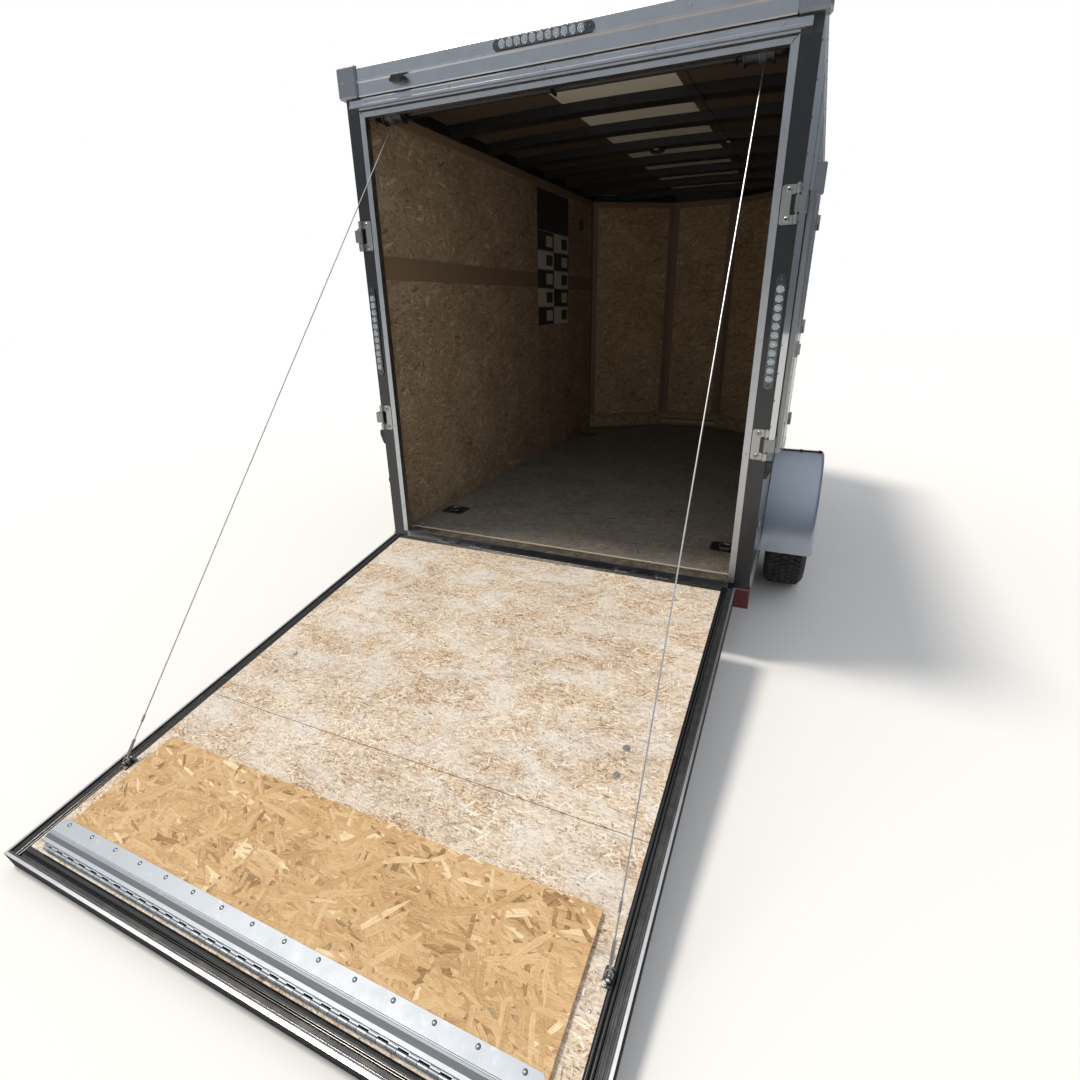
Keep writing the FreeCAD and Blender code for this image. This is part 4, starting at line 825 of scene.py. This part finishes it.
# %% [markdown]
# ## Ramp door
# The deck is two boards with a seam across, bolted to the frame near the stay cables. Round it run a
# black rubber bulb seal, a dark ribbed channel and the bright edge. The flap's strip is bent down to its
# piano hinge, whose knuckles come every 25 mm.


# %% Ramp deck, seal and channel
def ramp_span(node):
    """A node's lowest and highest (x, u, w) in the ramp's own frame, in mm."""
    back = ramp_frame.inverted() @ nodes[node].matrix_world
    points = [back @ vertex.co / MM for vertex in nodes[node].data.vertices]
    low, high = ([pick(p[i] for p in points) for i in range(3)] for pick in (min, max))
    return (low[0], -high[1], low[2]), (high[0], -low[1], high[2])


(_, deck_near, deck_under), (deck_half, deck_far, deck_top) = ramp_span("ramp_deck")
(_, ramp_near, _), (edge_half, ramp_far, _) = ramp_span("ramp_edge")
frame_top = ramp_span("ramp_frame")[1][2]
seam_u = 1219.0
bolt_x, bolt_rows, screw_rows = 672, (950, 1052), (150, 420, 690, 1400, 1620)
boards, deck_bolts, seal, channel = forms(4)
for span in ((deck_near, seam_u - 0.9), (seam_u + 0.9, deck_far)):
    block(boards, on_ramp, (-deck_half, deck_half), span, (deck_under, deck_top))
piece("deck_boards", boards, deck_board, "ramp", "ramp_deck", 0.8)

for side in sides:
    put = mirrored(side, on_ramp)
    for u in bolt_rows:
        bolt(deck_bolts, put, (bolt_x, u, deck_top), "z", 1, 12, 6.5, 3.4)
    for u in screw_rows:
        screw(deck_bolts, put, (deck_half - 22, u, deck_top - 0.8), "z", 1, 4.2, 10)
piece("deck_bolts", deck_bolts, zinc, "ramp")

edge_in = edge_half - 12
seal_w = frame_top + 0.1
bulb = [(0.6, 0)] + arc((5.8, 1.2), 5.1, 188, -8, 7) + arc((16.2, 1.2), 5.1, 188, -8, 7) + [(21.5, 0)]
ribs = [(17, 0), (17, 3.6), (19.2, 3.6), (19.2, 0.9), (24.5, 0.9), (24.5, 2.4), (26.5, 2.4), (26.5, 0.9)]
ribs += [(33, 0.9), (33, 2.8), (35, 2.8), (35, 0.9), (41, 0.9), (41, 0)]
ribs = [(22.5 + (p - 17) * 0.77, q) for p, q in ribs]
for side in sides:
    for form, target in ((bulb, seal), (ribs, channel)):
        outline = [(deck_half + p, seal_w + q) for p, q in form]
        prism(target, mirrored(side, on_ramp), outline, ramp_near + 2, ramp_far - 13, "y")
far_bulb = [(deck_far + 0.6 + p * 0.4, seal_w + q) for p, q in bulb]
tongue = [(-11, 0.05), (-10, 1.2), (1, 1.7), (1, 0.05)]
near_bulb = [(deck_near - 2 - p, seal_w + q) for p, q in bulb]
for outline in ([(deck_far + u, deck_top + w) for u, w in tongue], far_bulb, near_bulb):
    prism(seal, on_ramp, outline, -deck_half, deck_half, "x")
far_ribs = [(deck_far + 10 + (p - 22.5) * 0.53, seal_w + q * 0.8) for p, q in ribs]
prism(channel, on_ramp, far_ribs, -deck_half, deck_half, "x")
lip_w = (deck_top + 0.05, deck_top + 0.5)
for side in sides:
    lip = (edge_in + 0.2, edge_in + 4.5)
    block(channel, mirrored(side, on_ramp), lip, (ramp_near + 2, ramp_far - 7.5), lip_w)
block(channel, on_ramp, (-edge_in, edge_in), (ramp_far - 11.8, ramp_far - 7.5), lip_w)
piece("ramp_seal", seal, rubber_gloss, "ramp", angle=50)
piece("ramp_channel", channel, dark_alu, "ramp", bevel_mm=0.3)
print("deck", round(deck_near, 1), round(deck_far, 1), "edge", round(ramp_far, 1))

# %% Flap strip, its screws and the piano hinge
(strip_x0, _, _), (strip_x1, strip_u1, top_w) = ramp_span("flap_strip")
pin = ramp_frame.inverted() @ Vector(joints["flap_hinge"]["pos_m"])
pin_u, pin_w = -pin.y / MM, pin.z / MM
fold_u, bend_u = pin_u - 36, pin_u - 20
flat_u, steep_u = fold_u - 44, fold_u + 5
drop = 4.0
under_w = top_w - 2.5
low_w, low_under = top_w - drop, under_w - drop
strip, fold, flap_screws, fixed, moving, hinge_gap_shade = forms(6)
flat = [(strip_x0 + 12, flat_u), (strip_x1 - 12, flat_u), (strip_x1, flat_u + 14), (strip_x1, fold_u - 4)]
flat += [(strip_x0, fold_u - 4), (strip_x0, flat_u + 14)]
prism(strip, on_ramp, flat, under_w, top_w - 0.5)
bead = [(fold_u - 4, under_w), (fold_u - 4, top_w - 0.5), (fold_u - 3, top_w), (fold_u - 1, top_w)]
bead += [(fold_u, top_w - 0.5), (steep_u, top_w - 1.7), (steep_u, under_w - 1.2), (fold_u, under_w)]
prism(strip, on_ramp, bead, strip_x0, strip_x1, "x")
# The fold's darker finish is painted shade on its outward-facing slope.
slope = [(steep_u, under_w - 1.2), (steep_u, top_w - 1.7), (bend_u, low_w - 0.3), (bend_u, low_under)]
prism(fold, on_ramp, slope, strip_x0 + 0.1, strip_x1 - 0.1, "x")
tail = [(bend_u, low_under), (bend_u, low_w - 0.3), (bend_u + 1, low_w)]
tail += [(strip_u1 - 4, low_w), (strip_u1 - 3, low_w - 0.8), (strip_u1 - 3, low_under)]
prism(strip, on_ramp, tail, strip_x0, strip_x1, "x")
piece("flap_strip_bent", strip, strip_sheet, "flap", "flap_strip", 0.3, 12)
piece("flap_strip_fold", fold, fold_shade_and_dull_steel, "flap")
for index in range(15):
    place = (strip_x0 + 38 + 104 * index, flat_u + 12, top_w - 0.5)
    screw(flap_screws, on_ramp, place, "z", 1, 5.6, 14)
piece("flap_screws", flap_screws, screw_dark, "flap")

(hinge_x0, _, _), (hinge_x1, _, _) = ramp_span("flap_hinge_moving")
knuckles = 60
knuckle_mm = (hinge_x1 - hinge_x0) / knuckles
leaf_w = (pin_w - 0.6, pin_w + 1.9)
slot_u = pin_u - 7.0
block(fixed, on_ramp, (hinge_x0, hinge_x1), (pin_u - 2.5, pin_u + 4), (deck_top, deck_top + 1.6))
# A dark strip under the knuckles is painted shade in the gaps between them.
block(hinge_gap_shade, on_ramp, (hinge_x0, hinge_x1), (pin_u - 18, pin_u - 2.6), (deck_top, deck_top + 1.5))
for index in range(knuckles):
    x0 = hinge_x0 + knuckle_mm * index + 0.5
    x1 = x0 + knuckle_mm - 1.0
    turned(moving if index % 2 else fixed, on_ramp, [(4.9, x0), (4.9, x1)], (0, pin_u, pin_w), "x", 14)
    if index % 2:
        block(moving, on_ramp, (x0, x1), (strip_u1 - 4, pin_u - 2), leaf_w)
    else:
        block(fixed, on_ramp, (x0, x1), (pin_u - 1.5, pin_u + 2.5), (deck_top + 1, pin_w - 2))
turned(fixed, on_ramp, [(2.3, hinge_x0 - 3), (2.3, hinge_x1 + 3)], (0, pin_u, pin_w), "x", 10)
block(moving, on_ramp, (hinge_x0, hinge_x1), (strip_u1 - 4, slot_u), leaf_w)
block(moving, on_ramp, (hinge_x0, hinge_x1), (bend_u, strip_u1 - 3), (low_under - 2.7, low_under - 0.1))
piece("piano_hinge_fixed", fixed, galvanised, "ramp", "flap_hinge_fixed", 0.3)
piece("piano_hinge_moving", moving, strip_sheet, "flap", "flap_hinge_moving", 0.3)
piece("piano_hinge_gap_shade", hinge_gap_shade, black_painted_shade, "ramp")
print("flap hinge", round(pin_u, 1), round(pin_w, 1), "knuckles", knuckles)

# %% Ramp hinge leaves and stay cables
skin_rivets, leaves, lugs, pins, ends, ropes, windings = forms(7)
(skin_x0, skin_u0, skin_w), (skin_x1, skin_u1, _) = ramp_span("ramp_skin")
inset, rib_x = 24, 290
row_x, row_u = spaced(skin_x0 + inset, skin_x1 - inset, 12), spaced(skin_u0 + inset, skin_u1 - inset, 12)
places = [(x, u) for u in row_u for x in (row_x[0], row_x[-1], -rib_x, rib_x)]
places += [(x, u) for x in row_x[1:-1] for u in (row_u[0], row_u[-1])]
for x, u in places:
    screw(skin_rivets, on_ramp, (x, u, skin_w), "z", -1, 4.0, 8)
piece("ramp_skin_rivets", skin_rivets, screw_dark, "ramp")
leaf_places = (-560, -375, 375, 560)
for x in leaf_places:
    block(leaves, on_ramp, (x - 33, x + 33), (ramp_near + 2, deck_near - 14), (frame_top, frame_top + 3))
    for dx in (-20, 0, 20):
        screw(leaves, on_ramp, (x + dx, ramp_near + 10, frame_top + 3), "z", 1, 4.5, 10)
piece("ramp_hinge_leaves", leaves, galvanised, "ramp", bevel_mm=0.6)

(_, plate_u0, plate_w), (_, plate_u1, ear_w) = ramp_span("cable_brackets")
plate_u = (plate_u0 + plate_u1) / 2
plate = rounded_box((deck_half - 16, plate_u - 22), (deck_half + 8, plate_u + 22), 6, 4)
lug = rounded_box((deck_half - 11, plate_w + 3), (deck_half + 7, ear_w), 7, 4)
middle = (deck_half - 2, 0, ear_w - 8)
for side in sides:
    put = mirrored(side, on_ramp)
    prism(lugs, put, plate, plate_w, plate_w + 4)
    for u0 in (plate_u - 10, plate_u + 6):
        prism(lugs, put, lug, u0, u0 + 4, "y")
    turned(pins, put, [(4, plate_u - 12.5), (4, plate_u + 12.5)], middle, "y", 14)
    for u0 in (plate_u - 15, plate_u + 10.5):
        turned(pins, put, [(6.4, u0), (6.4, u0 + 4.5)], middle, "y", 6)
    bolt(pins, put, (deck_half - 9, plate_u + 16, plate_w + 4), "z", 1, 6, 4.5, 3.0)
piece("cable_lugs", lugs, black_plastic, "ramp", "cable_brackets", 0.8)
piece("cable_pins", pins, zinc, "ramp")

# The ropes run straight from the body to the ramp's end, ride on no body and do not bend.
top_mm = Vector((745, 70, 1827))
end_mm = Vector((809, -1574.95, -222.8))
run = (end_mm - top_mm).normalized()
sideways = run.cross(Vector((0, 0, 1))).normalized()
slack_share = 0.84
rope_parts = 48
winding_x, winding_radius, winding_pitch = 740, 28.0, 4.6
drum_low, drum_high = box_mm("cable_drums")
drum_y, drum_z = (drum_low.y + drum_high.y) / 2, (drum_low.z + drum_high.z) / 2
for side in sides:
    put = mirrored(side)
    tube(ropes, [put(*place) for place in spaced(top_mm, end_mm, rope_parts)], 2.0, 8)
    for radius, back in ((4.6, (62, 16)), (3.6, (140, 118))):
        tube(ends, [put(*(end_mm - run * d)) for d in back], radius, 12)
    turns = [math.radians(-150 + 25 * step) for step in range(13)]
    loop = [end_mm - run * (9 * math.cos(t) - 4) + sideways * 8 * math.sin(t) for t in turns]
    tube(ends, [put(*p) for p in loop], 2.2, 8)
    for turn in range(5):
        round_wire = [(winding_radius + x, y) for x, y in arc((0, 0), 1.8, 0, 315, 7)]
        centre = (side * (winding_x + winding_pitch * (turn - 2)), drum_y, drum_z)
        turned(windings, at, round_wire, centre, "x", 36, closed=True)
piece("cable_ends", ends, zinc, "ramp")
ropes_piece = piece("stay_ropes", ropes, wire_rope, None, "ramp_cables")
slack_from = top_mm + (end_mm - top_mm) * slack_share
at(0, top_mm.y, top_mm.z)
at(0, slack_from.y, slack_from.z)
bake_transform(ropes_piece)
piece("cable_windings", windings, fold_shade_and_dull_steel)
print("cables", round((end_mm - top_mm).length), "mm")

# %% [markdown]
# ## Inside
# The floor ends in a pale nosing behind a gritty threshold. Rings sit in dished black pans. Blank sheets
# hang on the road-side wall, and a thin wire runs along the ceiling.

# %% Threshold, nosing and floor rings
nosing, grit, pans, pan_rings, pan_screws = forms(5)
across = (-open_half + 4, open_half - 4)
profile = [(70, -7), (70, -0.5), (71, 0.4), (76, 0.4), (76, 0), (71, 0)]
prism(nosing, at, [(y, floor_mm + z) for y, z in profile], *across, "x")
piece("floor_nosing", nosing, nosing_board)
for span in ((38.5, 69), (1.5, 35.5)):
    block(grit, at, across, span, (0.2, 1.2))
piece("threshold_strips", grit, gritty, bevel_mm=0.6)

ring_low, ring_high = box_mm("floor_rings")
pan_x, pan_y = 70, 61
pan_rims = ((69, 60, 14, 0.1), (69.5, 60.5, 14, 1.8), (68, 59, 13, 2.9))
pan_rims += ((56, 46, 12, 2.9), (53, 43, 11, 2.2), (50, 40, 11, 0.5))
for x in (pan_x - ring_high.x, ring_high.x - pan_x):
    for y in (ring_low.y + pan_y, ring_high.y - pan_y):
        def put(p, q, r):
            return at(x + p, y + q, floor_mm + r)

        rims = [(rounded_box((-a, -c), (a, c), radius, 5), z) for a, c, radius, z in pan_rims]
        skinned(pans, [ring(pans, put, outline, z) for outline, z in rims])
        loop = arc((0, 0), 30, -60, 240, 20)
        tube(pan_rings, [put(p, q, 5.8) for p, q in loop + loop[:1]], 4.4, 10)
        block(pan_rings, put, (-22, 22), (-34, -18), (0.6, 9.5))
        for dx, dy in ((-61, -51), (61, -51), (-61, 51), (61, 51)):
            screw(pan_screws, put, (dx, dy, 2.8), "z", 1, 4.2, 10)
piece("floor_pans", pans, black_plastic, "body", "floor_rings", angle=40)
piece("pan_rings", pan_rings, zinc, bevel_mm=0.8, angle=50)
piece("pan_screws", pan_screws, zinc)
print("threshold and rings ready", round(floor_mm, 1))

# %% Blank sheets, wall grommet, dome lamp, wire, rails and joint strips
wall_face = body_mm - lining_mm
sheets_dark, sheets_pale, grommet, dome_rim, dome_lens, wire, clip, rails, strips = forms(9)
sheet_x = 4.4 - wall_face
sheet_y, sheet_pitch, sheet_mm = 1846, 298, 292
grommet_at = (-wall_face, 2748, 1728)
sheet_rows = (1612, 1485, 1360, 1232, 1104, 976)
block(sheets_dark, at, (sheet_x, sheet_x + 1.0), (sheet_y, 2436), (1616, 1872))
for row, (above, below) in enumerate(zip(sheet_rows, sheet_rows[1:])):
    for column in range(2):
        y = sheet_y + sheet_pitch * column
        kinds = (sheets_dark, sheets_pale) if (row + column) % 2 == 0 else (sheets_pale, sheets_dark)
        block(kinds[0], at, (sheet_x, sheet_x + 1.0), (y, y + sheet_mm), (below + 2, above - 4))
        block(kinds[1], at, (sheet_x + 0.9, sheet_x + 1.3), (y + 150, y + 268), (below + 28, above - 26))
piece("sheets_dark", sheets_dark, paper_dark)
piece("sheets_pale", sheets_pale, paper)

turned(grommet, at, [(48, 0), (48, 1.5), (44, 2.2), (42, 0.8)], grommet_at, "x", 32)
piece("wall_grommet", grommet, black_plastic)

dome_low, dome_high = box_mm("dome_light")
dome_at = ((dome_low.x + dome_high.x) / 2, (dome_low.y + dome_high.y) / 2, dome_high.z)
turned(dome_rim, at, [(51.5, 0), (52, -2), (52, -7), (50, -9), (44, -9.4)], dome_at, "z", 48)
turned(dome_lens, at, [(43.5, -9), (42, -14), (37, -20), (26, -24.5), (8, -25.8)], dome_at, "z", 48)
piece("dome_lamp_rim", dome_rim, black_plastic, "body", "dome_light")
piece("dome_lamp_lens", dome_lens, smoke_lens)

roof_crown = 20.0
wire_x, clip_y = 430, 1568
ceiling_z = dome_at[2] + roof_crown * ((dome_at[0] / body_mm) ** 2 - (wire_x / body_mm) ** 2)
points = []
for y in range(60, 3060, 50):
    along_bow = (y - first_bow) / bow_pitch % 1.0
    sag = 5 * math.sin(math.pi * min(1.0, along_bow * 1.3)) + 2 * math.sin(y / 170 + 9)
    points.append(at(wire_x + 5 * math.sin(y / 260 + 9), y, ceiling_z - 3.5 - max(0.0, sag)))
tube(wire, points, 2.4, 8)
block(clip, at, (wire_x - 9, wire_x + 9), (clip_y - 5, clip_y + 5), (ceiling_z - 7, ceiling_z - 0.2))
piece("ceiling_wires", wire, black_plastic)


def lining_corners(inset):
    """Corners of the inner walls' plan on the curb side, from the rear to the middle of the nose."""
    tilt = math.atan2(front_mm - straight_mm, body_mm - nose_flat)
    side_y = straight_mm - inset * (1 - math.sin(tilt)) / math.cos(tilt)
    front_x = nose_flat - inset * (1 - math.cos(tilt)) / math.sin(tilt)
    side_x, front_y = body_mm - inset, front_mm - inset
    return (side_x, 40), (side_x, side_y), (front_x, front_y), (0, front_y)


def toward(here, there, length):
    """The point at a distance from here on the way to there."""
    way = Vector((there[0] - here[0], there[1] - here[1])).normalized() * length
    return here[0] + way.x, here[1] + way.y


near_lining = lining_corners(lining_mm + 0.2)
rail_face, strip_face = lining_corners(lining_mm + 18), lining_corners(lining_mm + 1.6)
strip_mm = 45
for side in sides:
    for plan in zip(rail_face, rail_face[1:], near_lining[1:], near_lining):
        prism(rails, mirrored(side), plan, wall_top - 47, wall_top - 1.5)
    for here, there in ((1, 0), (1, 2), (2, 1), (2, 3)):
        spans = [(f[here], toward(f[here], f[there], strip_mm)) for f in (strip_face, near_lining)]
        (a, c), (e, d) = spans
        prism(strips, mirrored(side), (a, c, d, e), floor_mm + 4, wall_top - 48)
piece("roof_rails", rails, bow_paint)
piece("nose_joint_strips", strips, band_paper)
piece("wire_clips", clip, clip_plastic, bevel_mm=1.2)
print("inside ready", [round(value) for value in dome_at])

# %% [markdown]
# ## Side hardware
# Each bar that holds the closed ramp turns in two zinc hinges. The fixed leaf is cut to an E and bolted
# to the post, the moving strap is bent round the pin and welded to the bar.

# %% Latch plates, bars and bolts
hinge_heights = (600, 1410)
rod_z = (561, 1457)
tab_z = {"curb": 1440, "road": 1356}
strap = 24.6
marker_at = (0, 17, 272)
for side, word in named_sides:
    bar_y1 = box_mm("latch_bar_" + word)[1].y
    pivot = Vector(joints["latch_" + word + "_hinge"]["pos_m"])
    px, py = abs(pivot.x) / MM, (pivot.y - rear_y) / MM
    bar_x0 = px + 28
    put = mirrored(side)
    (rod,) = forms(1)
    prism(rod, put, rounded_box((bar_x0, bar_y1 - 14), (bar_x0 + 24, bar_y1), 6.5, 5), *rod_z)
    tab = rounded_box((bar_x0 + 14, tab_z[word]), (bar_x0 + 47, tab_z[word] + 96), 6, 4)
    prism(rod, put, tab, bar_y1 - 10, bar_y1 - 4, "y")
    bend = (px + 25, py - 1.0)
    outer = [(px + 2, py - 7.8), (px + 24, py - 7.8)] + arc(bend, 6.8, -88, -2, 5)
    outer += [(px + 32, bar_y1 - 14), (px + 28.4, bar_y1 - 14)] + arc(bend, 3.2, -2, -88, 5)
    outer += [(px + 2, py - 4)]
    for z in hinge_heights:
        turned(rod, put, [(8, z - strap), (8, z + strap)], (px, py, 0), "z", 20)
        prism(rod, put, outer, z - strap, z + strap)
    piece("side_bar_" + word, rod, bright_steel, "latch_" + word, "latch_bar_" + word, 0.8)

latch_leaves, latch_bolts, sockets, rests, markers = forms(5)
for side in sides:
    put = mirrored(side)
    for z in hinge_heights:
        outline = [(px + 2, z - 31), (px + 2, z - 59)] + arc((px - 44, z - 51), 8, -90, -180, 5)
        outline += arc((px - 44, z + 51), 8, 180, 90, 5) + [(px + 2, z + 59), (px + 2, z + 31)]
        outline += arc((px - 17, z + 27), 4, 90, 180, 3) + arc((px - 17, z - 27), 4, 180, 270, 3)
        prism(latch_leaves, put, outline, -4, -0.1, "y")
        for a, c in ((z - 59, z - 31.5), (z + 31.5, z + 59)):
            turned(latch_leaves, put, [(8, a), (8, c)], (px, py, 0), "z", 20)
            block(latch_leaves, put, (px - 7.6, px - 0.5), (py, -3), (a, c))
        turned(latch_leaves, put, [(3.5, z - 60), (3.5, z + 60)], (px, py, 0), "z", 12)
        turned(latch_leaves, put, [(6, z + 59), (6, z + 61), (4, z + 62.5)], (px, py, 0), "z", 14)
        for bolt_z in (z - 44, z + 44):
            head_at = (px - 29.5, 0, bolt_z)
            turned(latch_bolts, put, [(10.0, -4), (9.7, -6), (6.8, -8.6), (1, -9.2)], head_at, "y", 20)
            turned(sockets, put, [(3.8, -8.6), (3.8, -9.4), (0.5, -9.5)], head_at, "y", 8)
    outline = [(0, 533), (26, 533), (26, 505), (10, 464), (0, 464)]
    prism(rests, put, [(body_mm + x, z) for x, z in outline], 2, 26, "y")
    button = [(17, 0), (17, 5), (13, 8), (2, 9)]
    turned(markers, put, [(radius, body_mm + x) for radius, x in button], marker_at, "x", 24)
piece("bar_rests", rests, rubber, bevel_mm=1.5)
piece("post_markers", markers, smoke_lens)
piece("latch_leaves", latch_leaves, zinc, "body", "latch_plates", 0.6)
piece("latch_bolts", latch_bolts, zinc)
piece("latch_sockets", sockets, black_plastic)
print("side bars ready", round(px), round(py))

# %% [markdown]
# ## Wheels and fenders
# The tyre is turned with a real sidewall and its tread is cut into ribs and blocks. The fender is one
# sheet rolled over a soft outer corner, with a turned lip and a thin marker rod across its crown.

# %% Tyres
tyre_low, tyre_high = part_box("tyre_curb")
axle = Vector([(a + b) / 2 for a, b in zip(tyre_low, tyre_high)])
tyre_radius = (tyre_high.z - tyre_low.z) / 2 / MM
tyre_half = (tyre_high.x - tyre_low.x) / 2 / MM
rim_radius = 190.5
tread_rows = ((-62, 26, 0.0), (-31, 24, 0.5), (0, 26, 0.0), (31, 24, 0.5), (62, 26, 0.0))
tread_count = 64
tread_lean = 0.012
block_share = 0.84


def wheel_put(side):
    """Put function about the wheel's centre: p outward, q forward and r up."""
    return lambda p, q, r: Vector((side * (axle.x + p * MM), axle.y + q * MM, axle.z + r * MM))


def tyre(put):
    """Carcass with bead and sidewall rings, and five rows of tread blocks."""
    (b,) = forms(1)
    bead = ((0.5, 84), (5, 88), (13, 94), (16, 94.5), (20, 97))
    rings = ((36, 0.8), (60, 0.3), (62, 0), (66, 0), (68, 0.4))
    shoulder = ((46, 2.5), (44, 1.5), (40, 2.5), (26, 9), (16, 17), (9, 24))
    wall = [(rim_radius + r, x) for r, x in bead] + [(rim_radius + r, tyre_half - x) for r, x in rings]
    wall += [(tyre_radius - r, tyre_half - x) for r, x in shoulder]
    profile = [(radius, -x) for radius, x in wall] + [(radius, x) for radius, x in reversed(wall)]
    turned(b, put, profile, (0, 0, 0), "x", 96, closed=True)
    pitch = 2 * math.pi / tread_count
    for middle, width, shift in tread_rows:
        lean = tread_lean * (middle > 0) - tread_lean * (middle < 0)
        top = tyre_radius - 0.4 - (1.6 if abs(middle) > 50 else 0)
        edges = ((middle - width / 2, -lean), (middle + width / 2, lean))
        for index in range(tread_count):
            begin = pitch * (index + shift)
            corners = []
            for radius in (tyre_radius - 10, top):
                for x, skew in edges:
                    for turn in (begin + skew, begin + pitch * block_share + skew):
                        corners.append(put(x, radius * math.cos(turn), radius * math.sin(turn)))
            solid(b, corners)
    return b


for side, word in named_sides:
    put = wheel_put(side)
    piece("tyre_dressed_" + word, tyre(put), tyre_rubber, "wheel_" + word, "tyre_" + word, angle=30)
    (nuts,) = forms(1)
    for index in range(5):
        turn = 2 * math.pi * index / 5
        centre = (36, 57 * math.cos(turn), 57 * math.sin(turn))
        turned(nuts, put, [(11, 0), (9.5, 3), (9.3, 16), (7.5, 19), (2, 20)], centre, "x", 6)
    turned(nuts, put, [(4, 0), (4, 20), (3, 26), (2, 27)], (22, 0, rim_radius - 30), "x", 10)
    turned(nuts, put, [(33, 58), (33.5, 62), (31, 65.5), (24, 68), (1, 69)], (0, 0, 0), "x", 36)
    piece("wheel_nuts_" + word, nuts, bright_steel, "wheel_" + word, bevel_mm=0.5)
print("tyres ready", round(tyre_radius, 1), round(tyre_half, 1))

# %% Fenders
fender_low, fender_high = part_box("fenders")
fender_x1 = fender_high.x / MM
fender_r = (fender_high.y - fender_low.y) / 2 / MM
fender_leg = (axle.z - fender_low.z) / MM
corner_mm, sheet_thick, lip_mm = 22.0, 2.2, 34
arch_steps = 60
rod_x, grip_x = 948, 1040


def fender_section(offset):
    """Across the sheet at one place round the arch: (x, radius) from the wall, out, and down the lip."""
    x1 = fender_x1 - offset
    top = fender_r - offset
    curve = arc((fender_x1 - corner_mm, fender_r - corner_mm), corner_mm - offset, 90, 0, 7)
    return [(body_mm + 2.6, top)] + curve + [(x1, top - lip_mm)]


fender, rods = forms(2)
section = fender_section(0) + fender_section(sheet_thick)[::-1]
arch = [(-math.cos(turn), math.sin(turn), 0) for turn in spaced(0, math.pi, arch_steps)]
arch = [(-1, 0, -fender_leg)] + arch + [(1, 0, -fender_leg)]
for side in sides:
    def put(p, q, r):
        return Vector((side * p * MM, axle.y + q * MM, axle.z + r * MM))

    rings = []
    for q, r, down in arch:
        rings.append([fender.verts.new(put(x, radius * q, radius * r + down)) for x, radius in section])
    skinned(fender, rings)
    turned(rods, put, [(2.6, rod_x), (2.6, fender_x1 - 10)], (0, 0, fender_r + 2.8), "x", 10)
    for x in (grip_x, fender_x1 - 24):
        grip = [(1, x - 9), (6, x - 8), (6.4, x), (6, x + 8), (1, x + 9)]
        turned(rods, put, grip, (0, 0, fender_r + 4.2), "x", 14)
piece("fender_sheets", fender, fender_sheet_sky_tint, "body", "fenders", angle=40)
piece("fender_rods", rods, black_plastic)
print("fenders ready", round(fender_r, 1), round(fender_leg, 1))

# %% [markdown]
# ## Floor, lamps and world
# A plain pale floor and soft light from the left, as the sun stood in the photo, with a pale world. The
# world is white to the camera and to clear plastic, and darker toward the ground to gloss.

# %% Stage and light
stage_half = 30.0
floor_mesh = bpy.data.meshes.new("studio_floor")
floor_corners = [(x * stage_half, y * stage_half, 0) for x, y in ((-1, -1), (1, -1), (1, 1), (-1, 1))]
floor_mesh.from_pydata(floor_corners, [], [(0, 1, 2, 3)])
floor_material, tree, shader, _ = start("pale studio floor")
feed(tree, shader, {"Base Color": linear("#e9e9e8"), "Roughness": 0.9})
floor_mesh.materials.append(floor_material)
show("studio_floor", floor_mesh)

world = bpy.data.worlds.new("studio")
bpy.context.scene.world = world
world.use_nodes = True
sky = world.node_tree
path = add(sky, "LightPath").outputs
seen = maths(sky, "MAXIMUM", path["Is Camera Ray"], path["Is Transmission Ray"])
soft = add(sky, "Background", {"Color": linear("#f4f6fa"), "Strength": 0.75})
white = add(sky, "Background", {"Color": (1, 1, 1, 1), "Strength": 1.0})
direction = add(sky, "SeparateXYZ", {"Vector": add(sky, "TexCoord").outputs["Generated"]}).outputs
rise = maths(sky, "ADD", direction["Z"], maths(sky, "MULTIPLY", direction["X"], -0.25))
tent = ramp_colours(sky, rise, ((0.0, "#6a7078"), (0.18, "#878e98"), (0.5, "#c4cad2"), (0.85, "#f3f6fa")))
gloss = add(sky, "Background", {"Color": tent, "Strength": 1.0})
lit = add(sky, "MixShader", {0: path["Is Glossy Ray"], 1: soft.outputs[0], 2: gloss.outputs[0]})
blend = add(sky, "MixShader", {0: seen, 1: lit.outputs[0], 2: white.outputs[0]})
feed(sky, sky.nodes["World Output"], {"Surface": blend.outputs[0]})

sun = bpy.data.lights.new("key", "SUN")
sun.energy = 2.2
sun.angle = math.radians(12)
sun.color = linear("#fff6ea")[:3]
show("key", sun).rotation_euler = Vector((-0.42, -0.06, 1.0)).to_track_quat("Z", "Y").to_euler()
bpy.context.scene.view_settings.view_transform = "Standard"
print("stage ready")
